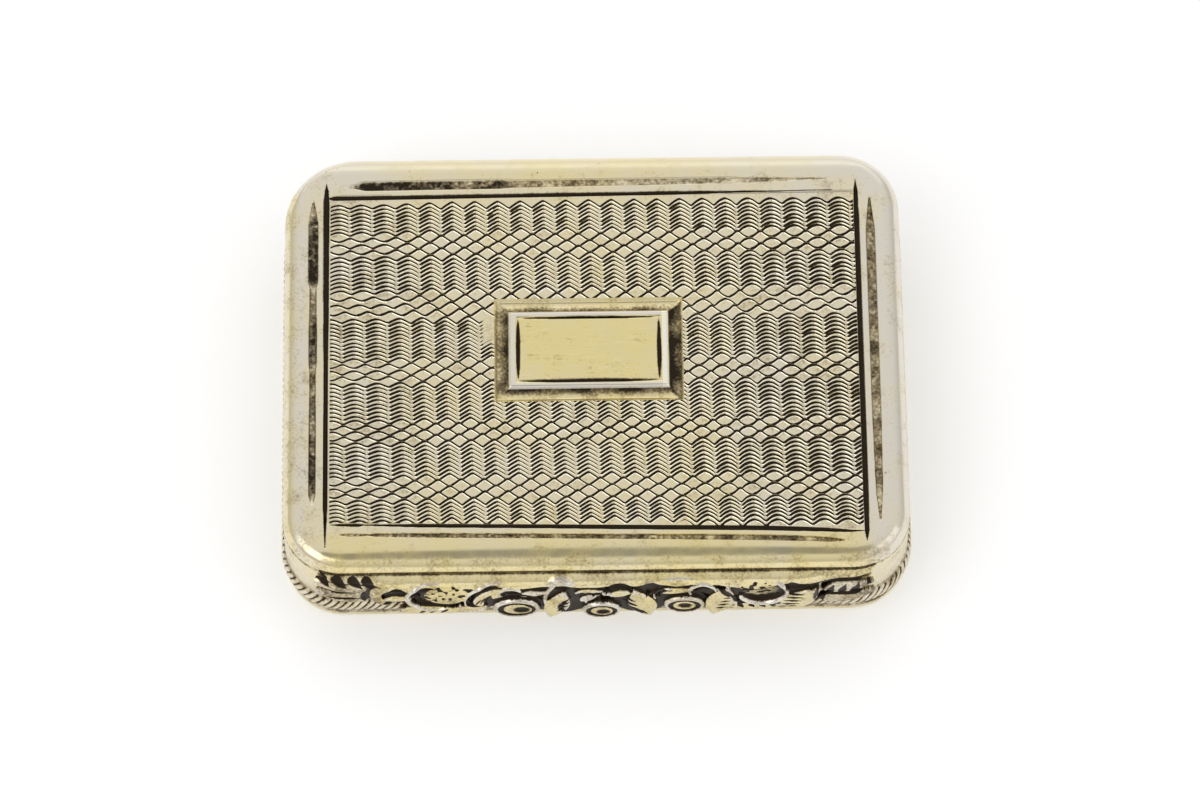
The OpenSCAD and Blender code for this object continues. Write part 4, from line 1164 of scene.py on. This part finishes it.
def build_base():
    """Base tray with a rounded edge, and the engine-turned field under it."""
    rays = plan_rays(0.4, 40)
    points, outwards = rays
    lip = 0.05
    section = np.concatenate([
        run((-WALL_T - 0.4, BASE_T, 2), (-WALL_T, BASE_T + 0.2, 1), (-WALL_T, BASE_H, 1),
            (-lip, BASE_H, 1), (0, BASE_H - lip)),
        arc(-BASE_EDGE_R, BASE_EDGE_R, BASE_EDGE_R, 0, -90, 20),
    ])
    inner = -CORNER_R + (CORNER_R - BASE_FIELD_INSET) / np.abs(outwards).max(axis=1)
    border = -BASE_EDGE_R + np.linspace(0, 1, 24)[1:] * (inner + BASE_EDGE_R)[:, None]
    full = np.ones((len(points), 1))
    n = np.concatenate([section[:, 0] * full, border, border[:, -1:]], axis=1)
    z = np.concatenate([section[:, 1] * full, np.zeros(border.shape), BASE_FIELD_BED * full], axis=1)
    verts = sweep(rays, n, z)
    first, last = len(section), len(section) + border.shape[1]
    edge = np.minimum(BOX_W / 2 - np.abs(verts[..., 0]), BOX_D / 2 - np.abs(verts[..., 1]))
    cut = tent(edge - BASE_FIELD_INSET + 0.25, 0.12)
    cut[:, :first] = 0
    cut[:, last:] = 0
    verts[..., 2] += 0.09 * cut
    patina = 1.1 * cut + 0.4 * smooth((verts[..., 2] - BASE_H + 0.15) / 0.1)
    add_piece("base_tray", verts, ring_faces(verts), "box", "base_plate", OUTER,
              patina=patina.ravel(), gilt=0.1)
    half_w, half_d = np.array([BOX_W, BOX_D]) / 2 - BASE_FIELD_INSET
    levels = BASE_FIELD_Z, BASE_FIELD_BED + 0.03
    verts, faces, soil, gilt = turned_slab(-half_w, half_w, -half_d, half_d, 12, *levels, -1)
    add_piece("base_panel", verts, faces, "box", "base_plate", OUTER, 25, patina=soil, gilt=gilt)


def build_bezel():
    """Strip inside the wall that the lid closes over."""
    rays = plan_rays(0.4, 40, HINGE_BREAKS)
    top, low = BODY_H + 0.4, BODY_H - 1.7
    outer, inner = -WALL_T - 0.02, -WALL_T - 0.42
    bevel, lip = 0.14, 0.06
    section = np.concatenate([
        run((inner, low, 1), (outer, low, 40), (outer, top - bevel)),
        arc(outer - bevel, top - bevel, bevel, 0, 90, 6),
        arc(inner + lip, top - lip, lip, 90, 180, 4),
    ])
    verts = sweep(rays, section[:, 0], section[:, 1])
    # Hollow along the back that the knuckles turn in
    x, y, z = np.moveaxis(verts, 2, 0)
    front = HINGE_Y - np.sqrt(np.maximum(0, TURNING_R**2 - (z - HINGE_Z) ** 2))
    cut = (y > front) & (y > 0) & (np.abs(x) < HINGE_LEN / 2) & (np.abs(z - HINGE_Z) < TURNING_R)
    verts[..., 1] = np.where(cut, front, y)
    patina = np.broadcast_to(0.3 * smooth((BODY_H - section[:, 1]) / 0.5), verts.shape[:2])
    add_piece("bezel_strip", verts, loop_faces(verts), "box", "bezel", INNER, patina=patina.ravel())


def build_ledge():
    """Ledge along the front and sides of the bezel, open at the back."""
    low, high = node_mm("grille_ledge")
    points, outwards = plan_rays(0.5, 24)
    kept = points[:, 1] + outwards[:, 1] * -1.5 < high[1]
    start = int(np.flatnonzero(kept & ~np.roll(kept, 1))[0])
    order = np.roll(np.arange(len(points)), -start)[: kept.sum()]
    outer, inner, lip = -WALL_T - 0.44, -WALL_T - 1.24, 0.08
    section = np.concatenate([
        run((outer, low[2], 1), (outer, high[2], 1), (inner + lip, high[2])),
        arc(inner + lip, high[2] - lip, lip, 90, 180, 4),
        arc(inner + lip, low[2] + lip, lip, 180, 270, 4),
    ])
    verts = sweep((points[order], outwards[order]), section[:, 0], section[:, 1])
    verts[..., 1] = np.minimum(verts[..., 1], high[1])
    verts = verts.swapaxes(0, 1)
    add_piece("ledge_strip", verts, ring_faces(verts), "box", "grille_ledge", INNER, patina=0.25)


def tube_section(half, radius, bore, lip):
    """Section of a tube with eased ends."""
    return [(-half, bore), (-half, radius - lip), (-half + lip, radius),
            (half - lip, radius), (half, radius - lip), (half, bore)]


def pin_section(half, radius):
    """Section of a pin with domed ends, which stop short of its axis."""
    rise = np.linspace(0, 0.5 * math.pi, 7)[:-1]
    dome = np.stack([half - 0.5 * radius * (1 - np.sin(rise)), radius * np.cos(rise)], axis=1)
    return np.concatenate([(dome * (-1, 1))[::-1], dome])


def build_hinges():
    for node in KNUCKLES:
        low, high = node_mm(node)
        section = tube_section((high[0] - low[0]) / 2, KNUCKLE_R, KNUCKLE_BORE_R, 0.05)
        verts = lathe_x((low[0] + high[0]) / 2, HINGE_Y, HINGE_Z, section)
        soil = np.tile([0.8, 0.6, 0, 0, 0.6, 0.8], len(verts))
        body = "box" if node.startswith("body") else "lid"
        add_piece(node + "_tube", verts, loop_faces(verts), body, node, WORN, patina=soil)
    for node, y, z, radius, finish in (("lid_hinge_pin", HINGE_Y, HINGE_Z, LID_PIN_R, WORN),
                                       ("grille_hinge_pin", GRILLE_Y, GRILLE_Z, GRILLE_PIN_R, INNER)):
        verts = lathe_x(0, y, z, pin_section(node_mm(node)[1][0], radius), 32)
        add_piece(node + "_rod", verts, ring_faces(verts), "box", node, finish, patina=0.15)
    section = tube_section(node_mm("grille_knuckle")[1][0], GRILLE_KNUCKLE_R, GRILLE_BORE_R, 0.04)
    verts = lathe_x(0, GRILLE_Y, GRILLE_Z, section)
    add_piece("grille_knuckle_tube", verts, loop_faces(verts), "grille", "grille_knuckle", INNER, patina=0.1)
    for node in ("grille_lug_left", "grille_lug_right"):
        build_lug(node)


def build_lug(node):
    """Tube of the grille's hinge on a foot that reaches back to the bezel."""
    low, high = node_mm(node)
    axis = np.array([GRILLE_Y, GRILLE_Z])
    angle = np.radians(np.linspace(30, 270, 25))
    outline = axis + GRILLE_KNUCKLE_R * np.stack([np.cos(angle), np.sin(angle)], axis=1)
    outline = np.concatenate([outline, [[high[1], low[2]], [high[1], GRILLE_Z + 0.18]]])
    angle = np.radians(np.linspace(30, 390, len(outline), endpoint=False))
    bore = axis + GRILLE_BORE_R * np.stack([np.cos(angle), np.sin(angle)], axis=1)
    rings = [(low[0], bore), (low[0], outline), (high[0], outline), (high[0], bore)]
    verts = np.array([np.column_stack([np.full(len(flat), x), flat]) for x, flat in rings])
    add_piece(node + "_tube", verts, loop_faces(verts), "box", node, INNER, patina=0.15)


# Grille: pierced scrolls, flowers and leaves with engraved midribs

STEM_W = 0.52
GRILLE_STEP = 0.08
GRILLE_MARGIN = 1.5
GRILLE_EASE = 0.09
ENGRAVED_DEPTH = 0.06


class Piercing:
    """Metal left standing in the grille's plan, and the lines engraved on it."""

    def __init__(self, x, y):
        self.x, self.y = np.meshgrid(x, y, indexing="ij")
        self.foot = np.full(self.x.shape, -1.0)
        self.cut = np.zeros(self.x.shape)

    def local(self, *moves):
        """Grid places after moves: ('to', x, y), ('turn', degrees) or ('flip', x sign, y sign)."""
        x, y = self.x, self.y
        for kind, *values in moves:
            if kind == "to":
                x, y = x - values[0], y - values[1]
            elif kind == "flip":
                x, y = x * values[0], y * values[1]
            else:
                x, y = turned(x, y, values[0])
        return x, y

    def keep(self, foot, cut=None):
        self.foot = np.maximum(self.foot, foot)
        if cut is not None:
            self.cut = np.maximum(self.cut, np.where(foot > 0, cut, 0))

    def disc(self, radius, *moves):
        x, y = self.local(*moves)
        away = np.hypot(x, y)
        self.keep(radius - away, tent(away - 0.55 * radius, 0.05))

    def ring(self, radius, *moves, half=False):
        x, y = self.local(*moves)
        away = np.hypot(x, y) - radius
        foot = STEM_W / 2 - np.abs(away)
        self.keep(np.minimum(foot, y) if half else foot, tent(away + 0.06, 0.045))

    def leaf(self, length, width, *moves):
        x, y = self.local(*moves)
        side_r = (length**2 + width**2) / (4 * width)
        away = np.hypot(x - length / 2, np.abs(y) + side_r - width / 2)
        rib = tent(y, 0.05) * (x < 0.85 * length)
        vein = tent((x - np.abs(y)) % 0.4 - 0.2, 0.05)
        self.keep(side_r - away, np.maximum(rib, 0.6 * vein))

    def flower(self, radius, *moves):
        petal_r = 0.42 * radius
        self.disc(radius - petal_r, *moves)
        for i in range(6):
            self.disc(petal_r, *moves, ("turn", 60 * i), ("to", radius - petal_r, 0))

    def bar(self, x0, x1, half_w, *moves):
        x, y = self.local(*moves)
        self.keep(np.minimum(np.minimum(x - x0, x1 - x), half_w - np.abs(y)))


def plan_inside(x, y, inset):
    """Distance inside the plan outline drawn in by inset."""
    ax, ay = np.abs(x) - FRONT_HALF, np.abs(y) - SIDE_HALF
    outside = np.hypot(np.maximum(ax, 0), np.maximum(ay, 0))
    return CORNER_R - inset - np.where((ax > 0) | (ay > 0), outside, np.maximum(ax, ay))


def turn_ends(count):
    """Ends of a spiral's half turns on its own X axis, as shares of the outer radius."""
    ends, shares = [1.0], [1 - 0.17 * k for k in range(count)]
    for k, share in enumerate(shares):
        ends.append(ends[-1] + (-2 if k % 2 == 0 else 2) * share)
    return ends, shares


def pierced_scroll(p, ring_r, cell_d, *moves):
    """Stem that curls in to a flower and throws off leaves as it goes."""
    ends, shares = turn_ends(4)
    for k, share in enumerate(shares):
        turn_r = share * ring_r
        middle = (*moves, ("to", (ends[k] + ends[k + 1]) / 2 * ring_r, 0), ("turn", 180 * (k % 2)))
        p.ring(turn_r, *middle, half=True)
        if k < len(shares) - 1:
            for angle in (20, 65, 110):
                off_stem = ("turn", angle), ("to", turn_r, 0), ("turn", 125)
                p.leaf(0.4 * ring_r, 0.17 * ring_r, *middle, *off_stem)
            p.disc(0.75 * STEM_W, *moves, ("to", ends[k + 1] * ring_r, 0))
    p.flower(0.29 * ring_r, *moves, ("to", 0.08 * ring_r, 0.05 * ring_r))
    # Two leaves off the second half turn
    tight, tight_r = (ends[1] + ends[2]) / 2 * ring_r, shares[1] * ring_r
    p.leaf(0.5 * ring_r, 0.22 * ring_r, *moves, ("to", tight, 0), ("turn", -45), ("to", tight_r, 0))
    p.leaf(cell_d / 2 - tight_r + STEM_W, 0.5 * ring_r, *moves, ("to", tight, -tight_r), ("turn", -90))


def pierce_field(p, field_x, front, back):
    """Fills the field: scrolls in its side cells, flowers between them, and leaves where cells meet."""
    columns, rows = 3, 2
    cell_w, cell_d = 2 * field_x / columns, (back - front) / rows
    ring_r = min(cell_w, cell_d) / 2
    for c in range(columns):
        for row in range(rows):
            cell = ("to", -field_x + (c + 0.5) * cell_w, front + (row + 0.5) * cell_d)
            side = c - 1
            if side == 0:
                p.ring(ring_r, cell)
                p.flower(0.4 * ring_r, cell)
                for i in range(12):
                    length = (0.45 if i % 2 == 0 else 0.74) * ring_r
                    p.leaf(length, 0.25 * ring_r, cell, ("turn", 30 * i), ("to", 0.28 * ring_r, 0))
            else:
                pierced_scroll(p, ring_r, cell_d, cell, ("flip", side, -1 if row % 2 else 1))
            tight_side = -1 if side == 0 else 3 if row % 2 == 0 else 1
            for quarter in range(4):
                if quarter != tight_side:
                    half = cell_w / 2 if quarter % 2 == 0 else cell_d / 2
                    p.bar(ring_r - STEM_W / 2, half + STEM_W / 2, STEM_W / 2, cell, ("turn", 90 * quarter))
    spread = math.degrees(math.atan2(cell_d, cell_w))
    space_r = math.hypot(cell_w, cell_d) / 2 - ring_r
    for c in range(columns + 1):
        for row in range(rows + 1):
            corner = ("to", -field_x + c * cell_w, front + row * cell_d)
            p.disc(0.3 * space_r, corner)
            for angle in (spread, 180 - spread, 180 + spread, -spread):
                p.leaf(space_r + STEM_W / 4, 0.45 * space_r, corner, ("turn", angle))


def build_grille():
    low, high = node_mm("grille")
    field_x = high[0] - GRILLE_MARGIN
    front, back = low[1] + GRILLE_MARGIN, GRILLE_Y - GRILLE_KNUCKLE_R - GRILLE_MARGIN
    x, y = [np.arange(low[axis] - GRILLE_STEP, high[axis] + 0.09, GRILLE_STEP) for axis in (0, 1)]
    p = Piercing(x, y)
    pierce_field(p, field_x, front, back)
    # Plain border with an engraved line
    to_field = np.maximum(np.abs(p.x) - field_x, np.maximum(front - p.y, p.y - back))
    border_line = tent(to_field - 0.6, 0.06)
    foot = np.where(to_field > STEM_W / 2, to_field, np.maximum(p.foot, to_field))
    cut = np.where(to_field > 0, border_line, p.cut)
    foot = np.minimum(foot, plan_inside(p.x, p.y, BOX_W / 2 - high[0]))
    foot = np.minimum(foot, GRILLE_Y - p.y)
    # Back corners cut off, then room along the back for the knuckle and for the lugs
    corner_x, corner_y = 15.241, GRILLE_Y - 1.025
    past = np.abs(p.x) - corner_x
    foot = np.minimum(foot, np.maximum(-past, (corner_y - past - p.y) / math.sqrt(2)))
    for half, room in ((3.12, 0.39), (5.72, 0.47)):
        foot = np.minimum(foot, np.maximum(np.abs(p.x) - half, GRILLE_Y - room - p.y))
    edge = np.clip(foot / GRILLE_EASE, 0, 1)
    upper = high[2] - GRILLE_EASE * (1 - quarter_round(edge)) - ENGRAVED_DEPTH * cut
    soil = 0.85 * cut + 0.35 * (1 - edge)
    (*sides, soil), faces = cut_plate(x, y, foot, upper, np.full(foot.shape, low[2]), soil)
    add_piece("grille_pierced", both_sides(*sides), faces, "grille", "grille", INNER, 45,
              patina=np.concatenate([soil, np.full(len(soil), 0.15)]))


def build_tab():
    """Half-round tab for lifting the grille, with rounded edges."""
    low, high = node_mm("grille_tab")
    edge_r, half_t = 0.1, 0.15
    angle = np.linspace(0, math.pi, 24)
    thick = np.linspace(-1, 1, 9)[:, None]
    radius = high[0] - edge_r * (1 - np.sqrt(1 - thick**2))
    y = np.broadcast_to((low[1] + high[1]) / 2 + half_t * thick, (len(thick), len(angle)))
    verts = np.stack([radius * np.cos(angle), y, low[2] + radius * np.sin(angle)], axis=2).swapaxes(0, 1)
    add_piece("grille_tab_half_round", verts, ring_faces(verts), "grille", "grille_tab", INNER, patina=0.1)


# Sponge

SPONGE_STEP = 0.16
PORE_COUNT = 900
PORE_RADII = 0.22, 0.7
PORE_DEPTHS = 0.2, 0.55


def build_sponge():
    """Sponge pad with an uneven outline and pores all over."""
    low, high = node_mm("sponge")
    radius = (high[2] - low[2]) / 2
    inset = BOX_W / 2 - high[0]
    x, y = [np.arange(low[axis] - SPONGE_STEP, high[axis] + SPONGE_STEP, SPONGE_STEP) for axis in (0, 1)]
    gx, gy = np.meshgrid(x, y, indexing="ij")
    inside = plan_inside(gx, gy, inset)
    inside -= 0.25 * np.abs(np.sin(gx * 1.1 + 0.6 * np.sin(gy * 0.8))) * np.abs(np.sin(gy * 1.3 + gx * 0.2))
    share = np.clip(inside / radius, 0, 1)
    crown = 0.02 + (radius - 0.03) * quarter_round(share)
    pores = np.zeros(gx.shape)
    for _ in range(PORE_COUNT):
        cx, cy = RANDOM.uniform(low[0], high[0]), RANDOM.uniform(low[1], high[1])
        size, depth = RANDOM.uniform(*PORE_RADII), RANDOM.uniform(*PORE_DEPTHS)
        near = 1 - ((gx - cx) ** 2 + (gy - cy) ** 2) / size**2
        pores = np.maximum(pores, depth * np.clip(near, 0, 1))
    pores *= smooth(share / 0.4)
    middle = (low[2] + high[2]) / 2
    # The third field is the painted shade of the pores, by their depth
    fields = middle + crown - pores, middle - crown, smooth(pores / 0.5)
    (*sides, soil), faces = cut_plate(x, y, inside, *fields)
    pad = add_piece("sponge_pad", both_sides(*sides), faces, "box", "sponge", SPONGE, 180,
                    patina=np.concatenate([soil, np.zeros(len(soil))]))


build_lid()
build_panel()
build_surround()
build_plaque()
build_thumbpiece()
build_wall()
build_base()
build_bezel()
build_ledge()
build_hinges()
build_grille()
build_tab()
build_sponge()


# Studio

VIEW_AZIMUTH, VIEW_ELEVATION, VIEW_ROLL = -0.583, 63.857, -0.19
VIEW_DISTANCE = 0.389
VIEW_OFFSET = (0, -0.00015, 0.00038)
FOCAL_PX, IMAGE_W, IMAGE_H = 6647, 1200, 801
MIDDLE_PX = (594.24, 409.80)
SENSOR_W = 36


def direction(azimuth, elevation):
    """Unit vector from the object towards a place in front of it, in degrees."""
    a, e = math.radians(azimuth), math.radians(elevation)
    return Vector((math.sin(a) * math.cos(e), -math.cos(a) * math.cos(e), math.sin(e)))


def build_camera():
    camera = bpy.data.objects.new("camera", bpy.data.cameras.new("camera"))
    bpy.context.scene.collection.objects.link(camera)
    away = direction(VIEW_AZIMUTH, VIEW_ELEVATION)
    right = Vector((0, 0, 1)).cross(away).normalized()
    up = away.cross(right)
    roll = math.radians(VIEW_ROLL)
    tilted = right * math.cos(roll) + up * math.sin(roll)
    aimed = Matrix((tilted, away.cross(tilted), away)).transposed().to_4x4()
    camera.matrix_world = Matrix.Translation(away * VIEW_DISTANCE + Vector(VIEW_OFFSET)) @ aimed
    camera.data.sensor_width = SENSOR_W
    camera.data.lens = FOCAL_PX / IMAGE_W * SENSOR_W
    camera.data.shift_x = (IMAGE_W / 2 - MIDDLE_PX[0]) / IMAGE_W
    camera.data.shift_y = (MIDDLE_PX[1] - IMAGE_H / 2) / IMAGE_W
    camera.data.clip_start, camera.data.clip_end = 0.01, 10
    bpy.context.scene.camera = camera


def build_floor():
    size = 3.0
    mesh = bpy.data.meshes.new("floor")
    drop = -0.00002
    corners = [(x * size, y * size, drop) for x, y in ((-1, -1), (1, -1), (1, 1), (-1, 1))]
    mesh.from_pydata(corners, [], [(0, 1, 2, 3)])
    floor = bpy.data.objects.new("floor", mesh)
    bpy.context.scene.collection.objects.link(floor)
    n = Nodes(bpy.data.materials.new("floor"))
    n.shader.inputs["Base Color"].default_value = FLOOR_GREY
    n.shader.inputs["Roughness"].default_value = 0.9
    n.shader.inputs["Emission Color"].default_value = WHITE
    n.put(n.shader.inputs["Emission Strength"], n.math("MULTIPLY", n.backdrop_rays(), 0.3))
    mesh.materials.append(n.owner)


def build_world():
    """Soft studio all round: brightest overhead, with the dark of the room behind the camera."""
    world = bpy.data.worlds.new("studio")
    bpy.context.scene.world = world
    n = Nodes(world, "Background")
    place = n.add("TexCoord").outputs["Generated"]
    height = n.add("SeparateXYZ", {0: place}).outputs["Z"]

    def towards(azimuth, elevation):
        """Cosine of the angle between the place looked at and a direction."""
        inputs = {0: place, 1: direction(azimuth, elevation)}
        return n.add("VectorMath", inputs, operation="DOT_PRODUCT").outputs["Value"]

    sky = n.ramp(height, 0.0, 0.8, 0.58, 0.85)
    # Glow low behind the object, and the dark high in front of it
    glow = n.ramp(towards(180, 22), 0.72, 0.97, 0.0, 0.3)
    dark = n.ramp(towards(0, 74), math.cos(math.radians(22)), math.cos(math.radians(12)), 1.0, 0.44)
    level = n.math("MULTIPLY", n.math("ADD", sky, glow), dark)
    # White backdrop round the horizon, for the camera and in reflections
    shown = n.math("MULTIPLY", n.backdrop_rays(), n.ramp(height, 0.08, 0.2, 1.0, 0.0))
    strength = n.add("Mix", {"Factor": shown, "A": level, "B": 1.0}).outputs[0]
    n.shader.inputs["Color"].default_value = WHITE
    n.put(n.shader.inputs["Strength"], strength)


def build_lamp(name, azimuth, elevation, distance, size, watts):
    lamp = bpy.data.objects.new(name, bpy.data.lights.new(name, "AREA"))
    lamp.data.shape = "RECTANGLE"
    lamp.data.size, lamp.data.size_y = size
    lamp.data.energy = watts
    away = direction(azimuth, elevation)
    lamp.location = away * distance
    lamp.rotation_mode = "QUATERNION"
    lamp.rotation_quaternion = away.to_track_quat("Z", "Y")
    bpy.context.scene.collection.objects.link(lamp)


build_camera()
build_floor()
build_world()
build_lamp("key", -55, 45, 0.7, (0.6, 0.5), 0.9)
build_lamp("fill", 70, 35, 0.8, (0.6, 0.6), 0.4)
bpy.context.scene.view_settings.view_transform = "Standard"
